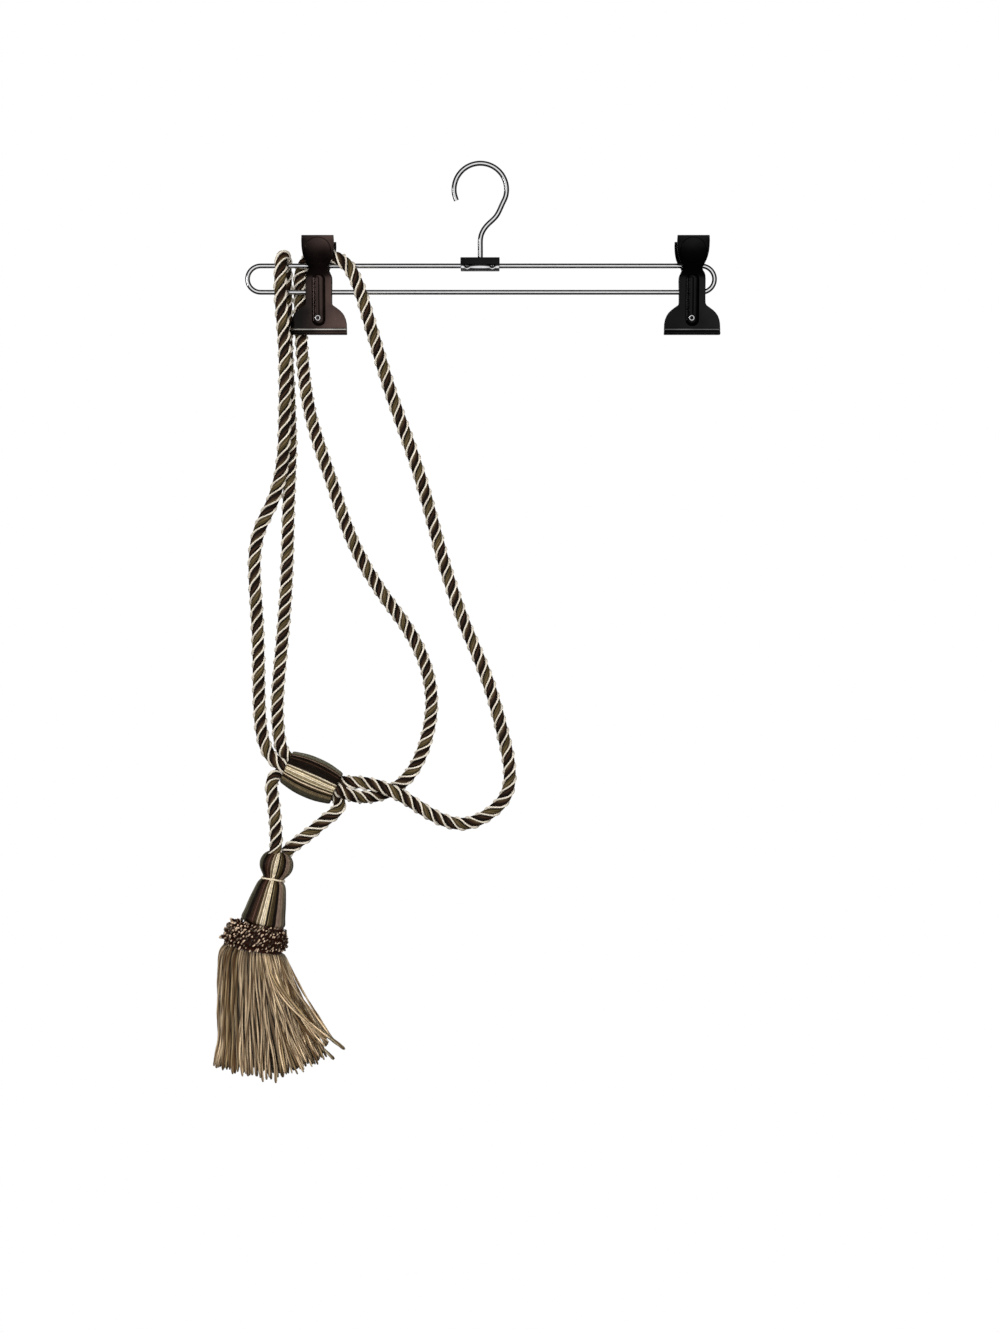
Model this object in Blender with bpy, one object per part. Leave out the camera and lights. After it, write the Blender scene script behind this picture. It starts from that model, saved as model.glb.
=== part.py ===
"""A curtain tieback: one twisted cord in two long loops, gathered by a covered barrel, with a tassel.

The two loops hang over a plain wire clip hanger, as the tieback is shown and kept. Lengths in the tables
are in millimetres and are turned into Blender's metres by MM. +Z is up, the front of the tieback faces
-Y, and the origin is the inside of the hook's crown, where the hanger rests on a rail.
"""

import math

import bmesh
import bpy
import numpy as np
from mathutils import Matrix, Vector

MM = 0.001

# The cord: three plies laid right-handed.
CORD_RADIUS = 4.55
CORD_GROOVE_RADIUS = 3.75
CORD_PLIES = 3
CORD_LAY = 25.0
CORD_STEPS_PER_TURN = 7

# The barrel that gathers the cord's three passes: the centres of its two ends, and its turned shape.
BARREL_LEFT = Vector((-139.0, 0.0, -432.7))
BARREL_RIGHT = Vector((-104.2, 0.0, -448.1))
PASS_RADIUS = 5.85
PASS_TWIST = 120.0
BORE_RADIUS = 10.9
BARREL_SIDES = 28

# The hanger: one long narrow loop of wire with a hook on a clamped collar.
WIRE_RADIUS = 1.8
UPPER_WIRE_Z = -72.0
LOWER_WIRE_Z = -91.0
HANGER_LEFT = -169.4
HANGER_RIGHT = 170.4
HOOK_WIRE_RADIUS = 1.9
HOOK_INNER_RADIUS = 17.0
HOOK_STEM = (
    (0.0, 0.0, -65.9), (0.0, 0.0, -58.0), (0.6, 0.0, -50.0), (5.2, 0.0, -42.4), (11.4, 0.0, -36.2),
)
HOOK_ARC_START = -32.0
HOOK_ARC_END = 205.0
HOOK_ARC_STEPS = 16
WIRE_BEND_STEPS = 8
COLLAR_SIZE = (28.6, 8.4, 10.0)
COLLAR_TOP_Z = -66.2
COLLAR_BEVEL = 1.6
BORE_SIDES = 16
FIT_GAP = 0.3

# The two spring clips.
CLIP_CENTRES = {"left": -116.2, "right": 152.4}
SPRING_RADIUS = 5.0
SPRING_END_RADIUS = 3.6
SPRING_ROUNDING = 0.8
SPRING_LENGTH = 15.0
SPRING_SIDES = 16

# The tassel, measured along its own axis from the centre of the head's ball.
TASSEL_CENTRE = Vector((-146.7, 0.0, -502.9))
TASSEL_TILT = 13.3
HEAD_SIDES = 28
SOCKET_RADIUS = 4.95
SOCKET_DEPTH = 14.0
SOCKET_SIDES = 12
RUFF_CENTRE = Vector((-160.4, 0.0, -554.0))
RUFF_TILT = 11.0
RUFF_LUMPS = 24
RUFF_LUMP_HEIGHT = 0.45
SKIRT_ROOT = Vector((-162.8, 0.0, -565.0))
SKIRT_ROOT_RADIUS = 21.0
SKIRT_BULGE = 3.6
SKIRT_HALF_DEPTH = 31.0
BACKING_SIDES = 32
# the line of the strands' tips: where it starts at the left, how it fans out, and its bowl
TIPS_LEFT = -192.0
TIPS_SPREAD = 0.95
TIPS_FAN = 0.0160
TIPS_LOWEST = (-153.0, -656.5)
TIPS_BOWL = 0.0078
TIPS_UNEVEN = 2.0
STRAND_RADIUS = 1.1
STRAND_RUNS = (0.0, 0.07, 0.30, 0.62, 1.0)

# The skirt's strands stand in rings: how many, and their share of the root radius.
SKIRT_RINGS = (
    # strands, share
    (46, 1.0),
    (38, 0.84),
    (30, 0.66),
    (20, 0.46),
    (10, 0.24),
)

# The cord's route, chosen by hand: x, y, z.
LEFT_LEG = (
    (-148.3, -3.9, -497.5), (-147.0, -3.9, -490.5), (-147.2, -3.4, -475.0), (-148.4, -2.2, -461.0),
    (-149.9, -0.6, -451.0), (-150.3, 0.8, -445.2), (-148.3, 2.0, -440.2), (-144.0, 2.8, -437.7),
)
INNER_STRAND = (
    (-98.0, -5.4, -451.0), (-91.0, -3.0, -453.6), (-83.0, 0.8, -454.6), (-74.0, 4.2, -453.4),
    (-64.0, 5.6, -449.6), (-55.2, 4.8, -443.0), (-48.2, 3.0, -434.5), (-42.0, 1.0, -422.0),
    (-36.9, 0.0, -404.0), (-35.1, 0.0, -384.0), (-40.8, 0.0, -356.0), (-54.4, 0.0, -330.0),
    (-69.6, 0.0, -309.0), (-92.0, 0.0, -270.0), (-105.8, 0.0, -231.0), (-121.6, 3.0, -182.0),
    (-127.8, 8.0, -145.0), (-129.8, 10.6, -118.0), (-130.6, 11.0, -98.0), (-130.9, 10.9, -84.0),
)
RIGHT_CROWN = (
    (-129.2, 8.9, -73.4), (-124.0, 5.0, -66.8), (-114.8, 0.0, -64.9), (-105.0, -5.2, -66.2),
)
OUTER_STRAND = (
    (-96.8, -8.4, -71.0), (-89.2, -9.0, -83.0), (-82.2, -7.8, -104.0), (-72.5, -4.0, -137.0),
    (-62.8, -2.0, -168.0), (-44.0, 0.0, -222.0), (-29.0, 0.0, -276.0), (-12.0, 0.0, -328.0),
    (5.4, 0.0, -371.0), (16.7, 0.0, -411.0), (21.0, 0.0, -434.0), (18.4, 0.0, -453.0),
    (6.0, 0.0, -466.5), (-11.0, 0.0, -473.5), (-29.0, -1.0, -470.0), (-47.0, -3.0, -459.5),
    (-62.0, -4.8, -450.6), (-75.0, -4.0, -445.8), (-86.0, -1.4, -443.8), (-95.0, 1.2, -443.6),
)
FRONT_STRAND = (
    (-145.0, -5.8, -429.9), (-152.2, -5.0, -422.0), (-156.9, -3.8, -408.5), (-159.0, -2.5, -385.0),
    (-160.0, -1.0, -340.0), (-162.0, -0.5, -305.0), (-162.5, -0.5, -283.0), (-158.5, -1.0, -261.0),
    (-150.0, -2.0, -243.0), (-142.5, -4.0, -215.0), (-140.4, -7.0, -180.0), (-140.0, -9.6, -145.0),
    (-141.2, -12.0, -118.0), (-142.8, -14.0, -97.0),
)
LEFT_CROWN = (
    (-143.0, -13.9, -82.0), (-142.4, -10.8, -70.6), (-141.5, 0.0, -65.1), (-141.0, 10.8, -70.6),
    (-140.9, 14.0, -82.0),
)
BACK_STRAND = (
    (-140.6, 14.0, -98.0), (-140.4, 12.5, -122.0), (-139.0, 10.4, -150.0), (-137.6, 8.4, -180.0),
    (-137.0, 6.4, -205.0), (-138.2, 4.4, -240.0), (-139.2, 3.0, -284.0), (-141.8, 2.0, -330.0),
    (-145.0, 2.0, -366.0), (-146.3, 2.0, -392.0), (-145.2, 2.5, -410.0), (-142.0, 2.8, -422.0),
)
RIGHT_LEG = (
    (-106.2, 2.9, -452.7), (-102.6, 3.1, -456.0), (-101.8, 3.3, -461.0), (-104.7, 3.3, -465.6),
    (-110.0, 3.2, -469.8), (-118.0, 3.2, -476.5), (-128.0, 3.6, -484.4), (-137.0, 3.9, -491.4),
    (-141.6, 3.9, -496.0),
)


def clear_scene():
    for thing in list(bpy.data.objects):
        bpy.data.objects.remove(thing, do_unlink=True)


def material(name, colour, roughness, metallic=0.0):
    made = bpy.data.materials.new(name)
    made.use_nodes = True
    shader = made.node_tree.nodes["Principled BSDF"]
    shader.inputs["Base Color"].default_value = (*colour, 1.0)
    shader.inputs["Roughness"].default_value = roughness
    shader.inputs["Metallic"].default_value = metallic
    made.diffuse_color = (*colour, 1.0)
    return made


def add_object(name, shape, look, smooth_angle=40.0):
    """Turns a bmesh in metres into a named object of the scene, with its faces outwards."""
    bmesh.ops.recalc_face_normals(shape, faces=shape.faces)
    mesh = bpy.data.meshes.new(name)
    shape.to_mesh(mesh)
    shape.free()
    mesh.shade_smooth()
    mesh.set_sharp_from_angle(angle=math.radians(smooth_angle))
    mesh.materials.append(look)
    made = bpy.data.objects.new(name, mesh)
    bpy.context.collection.objects.link(made)
    return made


def loft(shape, rings, closed=False):
    """Joins rings of equal point counts, given in millimetres, into one skin, and caps its ends."""
    rows = [[shape.verts.new(Vector(point) * MM) for point in ring] for ring in rings]
    sides = len(rows[0])
    pairs = list(zip(rows, rows[1:]))
    if closed:
        pairs.append((rows[-1], rows[0]))
    for upper, lower in pairs:
        for side in range(sides):
            after = (side + 1) % sides
            shape.faces.new((upper[side], upper[after], lower[after], lower[side]))
    if not closed:
        shape.faces.new(rows[0])
        shape.faces.new(rows[-1])


def turned(profile, sides, centre, tilt, lumps=0, lump_height=0.0):
    """A turned shape about an axis that leans by tilt degrees in the XZ plane.

    Each row of the profile is (distance down the axis, radius). The profile is a closed outline when its
    last row meets its first, which leaves the axis open, as in a barrel or a ring.
    """
    lean = Matrix.Rotation(math.radians(tilt), 4, "Y")
    is_ring = profile[0] == profile[-1]
    rows = profile[:-1] if is_ring else profile
    shape = bmesh.new()
    rings = []
    for row, (down, radius) in enumerate(rows):
        ring = []
        for side in range(sides):
            angle = 2 * math.pi * side / sides
            wave = lump_height * math.cos(lumps * angle + row * math.pi) if lumps else 0.0
            local = Vector(((radius + wave) * math.cos(angle), (radius + wave) * math.sin(angle), -down))
            ring.append(centre + lean @ local)
        rings.append(ring)
    loft(shape, rings, closed=is_ring)
    return shape


def cut(target, cutter):
    """Takes the cutter's shape out of the target and hides the cutter."""
    cutter.hide_render = True
    cutter.display_type = "WIRE"
    carve = target.modifiers.new(f"cut by {cutter.name}", "BOOLEAN")
    carve.operation = "DIFFERENCE"
    carve.solver = "EXACT"
    carve.object = cutter


def barrel_axis():
    """The barrel's unit directions: along it to the right, up across it, and back across it."""
    along = (BARREL_RIGHT - BARREL_LEFT).normalized()
    return along, Vector((-along.z, 0.0, along.x)), Vector((0.0, 1.0, 0.0))


def barrel_pass(start_angle, leftwards=False):
    """A strand's points through the barrel, turning by PASS_TWIST about its axis from left to right."""
    along, up, back = barrel_axis()
    length = (BARREL_RIGHT - BARREL_LEFT).length
    points = []
    for share in (0.06, 0.28, 0.50, 0.72, 0.94):
        eased = share * share * (3 - 2 * share)
        angle = math.radians(start_angle + PASS_TWIST * eased)
        offset = up * math.cos(angle) + back * math.sin(angle)
        points.append(BARREL_LEFT + along * (length * share) + offset * PASS_RADIUS)
    return points[::-1] if leftwards else points


def cord_route():
    """The cord from end to end: head, barrel, right loop, barrel, left loop, barrel, head."""
    route = [
        *LEFT_LEG, *barrel_pass(150.0), *INNER_STRAND, *RIGHT_CROWN, *OUTER_STRAND,
        *barrel_pass(-90.0, leftwards=True), *FRONT_STRAND, *LEFT_CROWN, *BACK_STRAND,
        *barrel_pass(30.0), *RIGHT_LEG,
    ]
    return np.array([tuple(point) for point in route])


def smooth_curve(points, spacing):
    """Evenly spaced points on the natural cubic spline through the given points."""
    gaps = np.linalg.norm(np.diff(points, axis=0), axis=1) ** 0.75
    knots = np.concatenate([[0.0], np.cumsum(gaps)])
    count = len(points)
    system = np.eye(count)
    right_side = np.zeros((count, 3))
    for i in range(1, count - 1):
        before = gaps[i - 1]
        after = gaps[i]
        system[i, i - 1 : i + 2] = before, 2 * (before + after), after
        slope_after = (points[i + 1] - points[i]) / after
        slope_before = (points[i] - points[i - 1]) / before
        right_side[i] = 6 * (slope_after - slope_before)
    bends = np.linalg.solve(system, right_side)

    fine = np.linspace(0.0, knots[-1], 200 * count)
    i = np.clip(np.searchsorted(knots, fine, side="right") - 1, 0, count - 2)
    gap = gaps[i][:, None]
    left = ((knots[i + 1] - fine) / gaps[i])[:, None]
    right = 1 - left
    curve = left * points[i] + right * points[i + 1]
    curve += ((left**3 - left) * bends[i] + (right**3 - right) * bends[i + 1]) * gap**2 / 6

    run = np.concatenate([[0.0], np.cumsum(np.linalg.norm(np.diff(curve, axis=0), axis=1))])
    steps = max(2, round(run[-1] / spacing))
    stations = np.linspace(0.0, run[-1], steps + 1)
    return np.stack([np.interp(stations, run, curve[:, k]) for k in range(3)], axis=1)


def level_frames(line):
    """A normal and a binormal at each point of the line, carried along it without twisting."""
    tangents = np.gradient(line, axis=0)
    tangents /= np.linalg.norm(tangents, axis=1)[:, None]
    normal = Vector((0.0, 1.0, 0.0)).cross(Vector(tangents[0])).normalized()
    before = Vector(tangents[0])
    frames = []
    for tangent in map(Vector, tangents):
        normal = before.rotation_difference(tangent) @ normal
        normal = (normal - tangent * normal.dot(tangent)).normalized()
        frames.append((normal, tangent.cross(normal)))
        before = tangent
    return frames


def build_cord(look):
    """The whole cord as one solid, with the ridge of each ply and the groove between plies raised."""
    line = smooth_curve(cord_route(), CORD_LAY / CORD_STEPS_PER_TURN)
    corners = 2 * CORD_PLIES
    rings = []
    for step, (point, (normal, binormal)) in enumerate(zip(line, level_frames(line))):
        turn = 2 * math.pi * step / CORD_STEPS_PER_TURN
        ring = []
        for corner in range(corners):
            angle = turn + math.pi * corner / CORD_PLIES
            radius = CORD_RADIUS if corner % 2 == 0 else CORD_GROOVE_RADIUS
            ring.append(Vector(point) + (normal * math.cos(angle) + binormal * math.sin(angle)) * radius)
        rings.append(ring)
    shape = bmesh.new()
    loft(shape, rings)
    return add_object("tieback_cord", shape, look, smooth_angle=75.0)


def build_barrel(look):
    """The barrel, swollen at its middle, with rounded ends and an open bore for the three passes."""
    length = (BARREL_RIGHT - BARREL_LEFT).length
    along = barrel_axis()[0]
    profile = (
        (0.0, BORE_RADIUS), (-0.8, BORE_RADIUS + 0.6), (0.2, 12.3), (6.0, 13.7), (13.0, 14.6),
        (length / 2, 14.9), (length - 13.0, 14.6), (length - 6.0, 13.7), (length - 0.2, 12.3),
        (length + 0.8, BORE_RADIUS + 0.6), (length, BORE_RADIUS), (length / 2, BORE_RADIUS),
        (0.0, BORE_RADIUS),
    )
    tilt = math.degrees(math.atan2(-along.x, -along.z))
    return add_object("barrel", turned(profile, BARREL_SIDES, BARREL_LEFT, tilt), look)


def build_head(look, route):
    """The covered head: a ball, a neck and a bell, on a core that the ruff surrounds."""
    profile = (
        (-9.6, 4.6), (-8.6, 7.4), (-6.2, 10.2), (-2.2, 11.9), (1.8, 12.0), (5.4, 10.7), (8.4, 8.4),
        (9.6, 7.6), (11.6, 7.6), (12.6, 9.4), (20.0, 11.6), (30.0, 13.8), (38.0, 15.4), (42.6, 16.0),
        (43.4, 13.6), (45.0, 11.4), (56.4, 11.4),
    )
    head = add_object("tassel_head", turned(profile, HEAD_SIDES, TASSEL_CENTRE, TASSEL_TILT), look)
    for name, end, inside in (("left", route[1], route[0]), ("right", route[-2], route[-1])):
        end = Vector(end)
        inside = Vector(inside)
        down = (inside - end).normalized()
        floor = inside + down * FIT_GAP
        mouth = floor - down * SOCKET_DEPTH
        across = down.cross(Vector((0.0, 1.0, 0.0))).normalized()
        side_way = down.cross(across)
        rings = []
        for centre in (mouth, floor):
            ring = []
            for side in range(SOCKET_SIDES):
                angle = 2 * math.pi * side / SOCKET_SIDES
                ring.append(centre + (across * math.cos(angle) + side_way * math.sin(angle)) * SOCKET_RADIUS)
            rings.append(ring)
        shape = bmesh.new()
        loft(shape, rings)
        cut(head, add_object(f"socket_cutter_{name}", shape, look))
    return head


def build_neck_thread(look):
    """The thread bound round the head's neck."""
    profile = (
        (9.9, 8.0), (9.6, 8.9), (10.2, 9.8), (11.0, 9.8), (11.6, 8.9), (11.3, 8.0), (9.9, 8.0),
    )
    return add_object("neck_thread", turned(profile, HEAD_SIDES, TASSEL_CENTRE, TASSEL_TILT), look)


def build_ruff(look):
    """The looped ruff round the bell's lower edge, lumpy from its bunches of loops."""
    profile = (
        (-6.8, 17.4), (-7.8, 18.2), (-6.0, 20.2), (-2.2, 21.4), (1.6, 23.2), (5.2, 24.0), (7.8, 23.6),
        (8.4, 21.6), (8.2, 14.2), (-1.0, 14.0), (-4.0, 15.2), (-6.8, 17.4),
    )
    sides = RUFF_LUMPS * 2
    shape = turned(profile, sides, RUFF_CENTRE, RUFF_TILT, lumps=RUFF_LUMPS, lump_height=RUFF_LUMP_HEIGHT)
    return add_object("ruff", shape, look)


def skirt_tip(out):
    """Where a strand ends: fanned out to the right, with the skirt's lower edge as a shallow bowl."""
    across = (out.x + 1) * (SKIRT_ROOT_RADIUS + SKIRT_BULGE)
    x = TIPS_LEFT + TIPS_SPREAD * across + TIPS_FAN * across**2
    lowest_x, lowest_z = TIPS_LOWEST
    return Vector((x, out.y * SKIRT_HALF_DEPTH, lowest_z + TIPS_BOWL * (x - lowest_x) ** 2))


def strand_line(number, angle, share):
    """One strand from its root in the backing to its tip, out under the ruff and then down."""
    out = Vector((math.cos(angle), math.sin(angle), 0.0)) * share
    lean = Matrix.Rotation(math.radians(RUFF_TILT), 4, "Y")
    root = SKIRT_ROOT + lean @ (out * SKIRT_ROOT_RADIUS + Vector((0.0, 0.0, 1.0)))
    tip = skirt_tip(out)
    tip.z += TIPS_UNEVEN * math.sin(2.4 * number)
    points = []
    for run in STRAND_RUNS:
        bulge = out * (SKIRT_BULGE * min(1.0, run / STRAND_RUNS[1]) * (1 - run))
        point = root.lerp(tip, run) + bulge
        point.x -= (tip.x - root.x) * (run - run**1.2)
        points.append(point)
    return points


def build_skirt(look):
    """The skirt: strands of three sides that stand apart, with their roots in one backing disc."""
    strands = bmesh.new()
    number = 0
    for count, share in SKIRT_RINGS:
        for place in range(count):
            number += 1
            around = 2 * math.pi * (place + 0.5 * (count % 4)) / count
            rings = []
            for point in strand_line(number, around, share):
                ring = []
                for side in range(3):
                    angle = around + 2 * math.pi * side / 3
                    ring.append(point + Vector((math.cos(angle), math.sin(angle), 0.0)) * STRAND_RADIUS)
                rings.append(ring)
            loft(strands, rings)
    cutter = add_object("strand_union_guide", strands, look)
    cutter.hide_render = True
    cutter.display_type = "WIRE"

    profile = ((-2.55, 21.6), (-1.4, 22.4), (1.4, 22.4), (2.2, 21.6))
    skirt = add_object("skirt", turned(profile, BACKING_SIDES, SKIRT_ROOT, RUFF_TILT), look)
    union = skirt.modifiers.new("strands", "BOOLEAN")
    union.operation = "UNION"
    union.solver = "EXACT"
    union.object = cutter
    return skirt


def wire_object(name, points, radius, look, closed=False):
    """Round wire along the points, as a curve with a round bevel."""
    curve = bpy.data.curves.new(name, "CURVE")
    curve.dimensions = "3D"
    curve.bevel_depth = radius * MM
    curve.bevel_resolution = 2
    curve.use_fill_caps = not closed
    spline = curve.splines.new("POLY")
    spline.points.add(len(points) - 1)
    for target, point in zip(spline.points, points):
        target.co = (*(Vector(point) * MM), 1.0)
    spline.use_cyclic_u = closed
    spline.use_smooth = True
    curve.materials.append(look)
    made = bpy.data.objects.new(name, curve)
    bpy.context.collection.objects.link(made)
    return made


def build_hanger_frame(look):
    """The hanger's wire: two straight runs joined by a half circle at each end."""
    middle = (UPPER_WIRE_Z + LOWER_WIRE_Z) / 2
    bend = (UPPER_WIRE_Z - LOWER_WIRE_Z) / 2
    ends = ((HANGER_RIGHT - bend - WIRE_RADIUS, 90.0), (HANGER_LEFT + bend + WIRE_RADIUS, -90.0))
    points = []
    for centre, start in ends:
        for step in range(WIRE_BEND_STEPS + 1):
            angle = math.radians(start - 180.0 * step / WIRE_BEND_STEPS)
            points.append((centre + bend * math.cos(angle), 0.0, middle + bend * math.sin(angle)))
    return wire_object("hanger_frame", points, WIRE_RADIUS, look, closed=True)


def build_hook(look):
    """The hook: a stem that rises from the collar and sweeps over the rail's seat to its tip."""
    bend = HOOK_INNER_RADIUS + HOOK_WIRE_RADIUS
    sweep = HOOK_ARC_END - HOOK_ARC_START
    arc = []
    for step in range(HOOK_ARC_STEPS + 1):
        angle = math.radians(HOOK_ARC_START + sweep * step / HOOK_ARC_STEPS)
        arc.append((bend * math.cos(angle), 0.0, -HOOK_INNER_RADIUS + bend * math.sin(angle)))
    return wire_object("hook", [*HOOK_STEM, *arc], HOOK_WIRE_RADIUS, look)


def build_collar(look):
    """The block clamped round the upper wire, which carries the hook."""
    length, _, height = COLLAR_SIZE
    shape = bmesh.new()
    bmesh.ops.create_cube(shape, size=1.0)
    bmesh.ops.scale(shape, vec=Vector(COLLAR_SIZE) * MM, verts=shape.verts)
    centre = Vector((0.0, 0.0, COLLAR_TOP_Z - height / 2)) * MM
    bmesh.ops.translate(shape, vec=centre, verts=shape.verts)
    long_enough = 0.5 * length * MM
    edges = [edge for edge in shape.edges if edge.calc_length() > long_enough]
    bmesh.ops.bevel(shape, geom=edges, offset=COLLAR_BEVEL * MM, segments=2, affect="EDGES", profile=0.5)
    collar = add_object("hook_collar", shape, look)
    bore = bmesh.new()
    rings = []
    for x in (-length, length):
        ring = []
        for side in range(BORE_SIDES):
            angle = 2 * math.pi * side / BORE_SIDES
            radius = WIRE_RADIUS + FIT_GAP
            ring.append((x, radius * math.cos(angle), UPPER_WIRE_Z + radius * math.sin(angle)))
        rings.append(ring)
    loft(bore, rings)
    cut(collar, add_object("collar_bore_cutter", bore, look))
    return collar


# One clip plate from its lever's top to its lip: height, inner face's distance from the middle plane,
# half width, thickness, and how far the pressed middle rib stands out.
PLATE_ROWS = (
    # z, inner, half_width, thickness, rib
    (-52.0, 18.0, 11.8, 1.0, 0.3),
    (-60.0, 15.4, 11.6, 1.0, 0.3),
    (-66.0, 13.2, 10.8, 1.0, 0.3),
    (-71.0, 11.1, 8.6, 1.0, 0.3),
    (-75.0, 9.1, 6.6, 1.0, 0.3),
    (-77.2, 7.9, 8.8, 1.0, 0.9),
    (-79.6, 6.7, 9.5, 1.0, 1.6),
    (-84.0, 5.35, 9.5, 1.0, 1.7),
    (-91.0, 4.4, 9.5, 1.0, 1.7),
    (-99.8, 3.1, 9.6, 1.0, 1.7),
    (-102.4, 2.7, 13.0, 1.0, 1.7),
    (-105.6, 2.3, 16.8, 1.0, 1.6),
    (-110.0, 1.9, 19.2, 1.0, 1.4),
    (-114.6, 1.5, 20.2, 1.0, 0.9),
    (-116.4, 1.4, 20.4, 1.0, 0.3),
    (-117.0, 1.3, 20.4, 1.9, 0.3),
    (-121.6, 0.3, 20.4, 1.9, 0.3),
)
RIB_HALF_WIDTH = 3.4


def build_clip_plate(name, centre_x, side, look):
    """One pressed plate of a clip, in front of the wires (side -1) or behind them (side +1)."""
    rings = []
    for z, inner, half_width, thickness, rib in PLATE_ROWS:
        outer = inner + thickness
        outline = (
            (-half_width, inner), (-half_width, outer), (-RIB_HALF_WIDTH, outer),
            (-RIB_HALF_WIDTH + 0.8, outer + rib), (RIB_HALF_WIDTH - 0.8, outer + rib),
            (RIB_HALF_WIDTH, outer), (half_width, outer), (half_width, inner),
        )
        rings.append([(centre_x + x, side * y, z) for x, y in outline])
    shape = bmesh.new()
    loft(shape, rings)
    return add_object(name, shape, look)


def build_clip_spring(name, centre_x, look):
    """The coiled spring between a clip's plates, which rests on the hanger's lower wire."""
    centre_z = LOWER_WIRE_Z + WIRE_RADIUS + FIT_GAP + SPRING_RADIUS
    half = SPRING_LENGTH / 2
    profile = (
        (-half, SPRING_END_RADIUS), (-half + SPRING_ROUNDING, SPRING_RADIUS),
        (half - SPRING_ROUNDING, SPRING_RADIUS), (half, SPRING_END_RADIUS),
    )
    rings = []
    for x, radius in profile:
        ring = []
        for side in range(SPRING_SIDES):
            angle = 2 * math.pi * (side + 0.5) / SPRING_SIDES
            ring.append((centre_x + x, radius * math.cos(angle), centre_z + radius * math.sin(angle)))
        rings.append(ring)
    shape = bmesh.new()
    loft(shape, rings)
    return add_object(name, shape, look)


def main():
    clear_scene()
    cord_look = material("cord yarn", (0.09, 0.06, 0.035), 0.55)
    barrel_look = material("barrel yarn", (0.30, 0.24, 0.15), 0.40)
    ruff_look = material("ruff yarn", (0.22, 0.13, 0.09), 0.60)
    skirt_look = material("skirt yarn", (0.38, 0.30, 0.18), 0.60)
    thread_look = material("neck thread", (0.70, 0.60, 0.45), 0.50)
    chrome = material("chrome wire", (0.62, 0.62, 0.64), 0.12, 1.0)
    dark_metal = material("dark clip metal", (0.035, 0.030, 0.030), 0.22, 0.9)
    steel = material("spring steel", (0.35, 0.35, 0.36), 0.35, 1.0)

    route = cord_route()
    build_cord(cord_look)
    build_barrel(barrel_look)
    build_head(barrel_look, route)
    build_neck_thread(thread_look)
    build_ruff(ruff_look)
    build_skirt(skirt_look)
    build_hanger_frame(chrome)
    build_hook(chrome)
    build_collar(dark_metal)
    for label, centre_x in CLIP_CENTRES.items():
        build_clip_plate(f"clip_{label}_front", centre_x, -1, dark_metal)
        build_clip_plate(f"clip_{label}_back", centre_x, 1, dark_metal)
        build_clip_spring(f"clip_{label}_spring", centre_x, steel)


main()
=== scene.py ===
"""The looks of a curtain tieback: twisted cord, a covered barrel and a tassel, on a wire hanger.

The tables are in millimetres, as a maker would measure them, and MM turns them into Blender's metres. The
front faces -Y and +Z is up.
"""

import math

import bpy
import numpy as np
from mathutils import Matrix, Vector


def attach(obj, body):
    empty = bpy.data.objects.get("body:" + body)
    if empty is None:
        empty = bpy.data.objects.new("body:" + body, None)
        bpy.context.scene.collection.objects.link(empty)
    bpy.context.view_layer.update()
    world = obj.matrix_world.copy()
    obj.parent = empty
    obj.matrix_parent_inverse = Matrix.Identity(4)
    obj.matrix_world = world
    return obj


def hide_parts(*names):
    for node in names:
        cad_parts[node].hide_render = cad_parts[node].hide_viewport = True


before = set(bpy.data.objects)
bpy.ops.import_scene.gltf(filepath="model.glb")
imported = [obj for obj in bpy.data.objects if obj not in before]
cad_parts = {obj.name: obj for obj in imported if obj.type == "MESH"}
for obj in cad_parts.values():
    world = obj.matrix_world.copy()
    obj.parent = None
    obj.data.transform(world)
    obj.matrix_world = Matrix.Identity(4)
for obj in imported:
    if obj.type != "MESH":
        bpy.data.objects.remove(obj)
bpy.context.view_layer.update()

MM = 0.001
SEEDS = {"cord": 11, "barrel": 23, "head": 31, "ruff": 47, "skirt": 59}

# The photograph's frame: one pixel is SCALE millimetres at the hanger, and its middle is VIEW_CENTRE.
PHOTO_HEIGHT = 1333
SCALE = 0.72
VIEW_CENTRE = Vector((13.8, 0.0, -360.4))
CAMERA_DISTANCE = 2200.0
SENSOR = 36.0
CAMERA_RANGE = (0.05, 50.0)

# The cord: three plies laid right-handed, with a gimp line in each groove between two plies. Each ply is a
# round lobe off the cord's centre, with fine ribs on it.
CORD_STEP = 0.78
CORD_LAYS = (
    # share of the cord's length, length of one turn of the plies there
    (0.0, 25.0), (0.05, 24.0), (0.10, 22.8), (0.25, 22.8), (0.32, 25.8), (0.55, 25.8), (0.62, 27.0),
    (0.66, 28.6), (0.75, 29.0), (0.80, 26.0), (0.93, 25.6), (1.0, 25.0),
)
PLIES = 3
PLY_POINTS = 12
RIB_POINTS = 3
RIB_HEIGHTS = (-0.26, 0.04)
# RIB_SHADES, GROOVE_SHADE and GROOVE_SIDE_SHADE darken a ply's colour in its ribs' valleys and in the
# grooves between the plies: painted shade.
RIB_SHADES = (0.42, 1.0)
GROOVE_SHADE = 0.15
GROOVE_SIDE_SHADE = 0.7
PLY_WAVE = 0.07
STREAK_WAVE = 0.25
LOBE_OFFSET = 1.93
LOBE_RADIUS = 2.4
GIMP_CENTRE_RADIUS = 4.02
GIMP_HEIGHT = 1.1
GIMP_HALF_WIDTH = 0.62
GIMP_STEP = 1.04
GIMP_WAVE = 0.10
GIMP_SWELL = 0.06
GIMP_SIDES = 6

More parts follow.
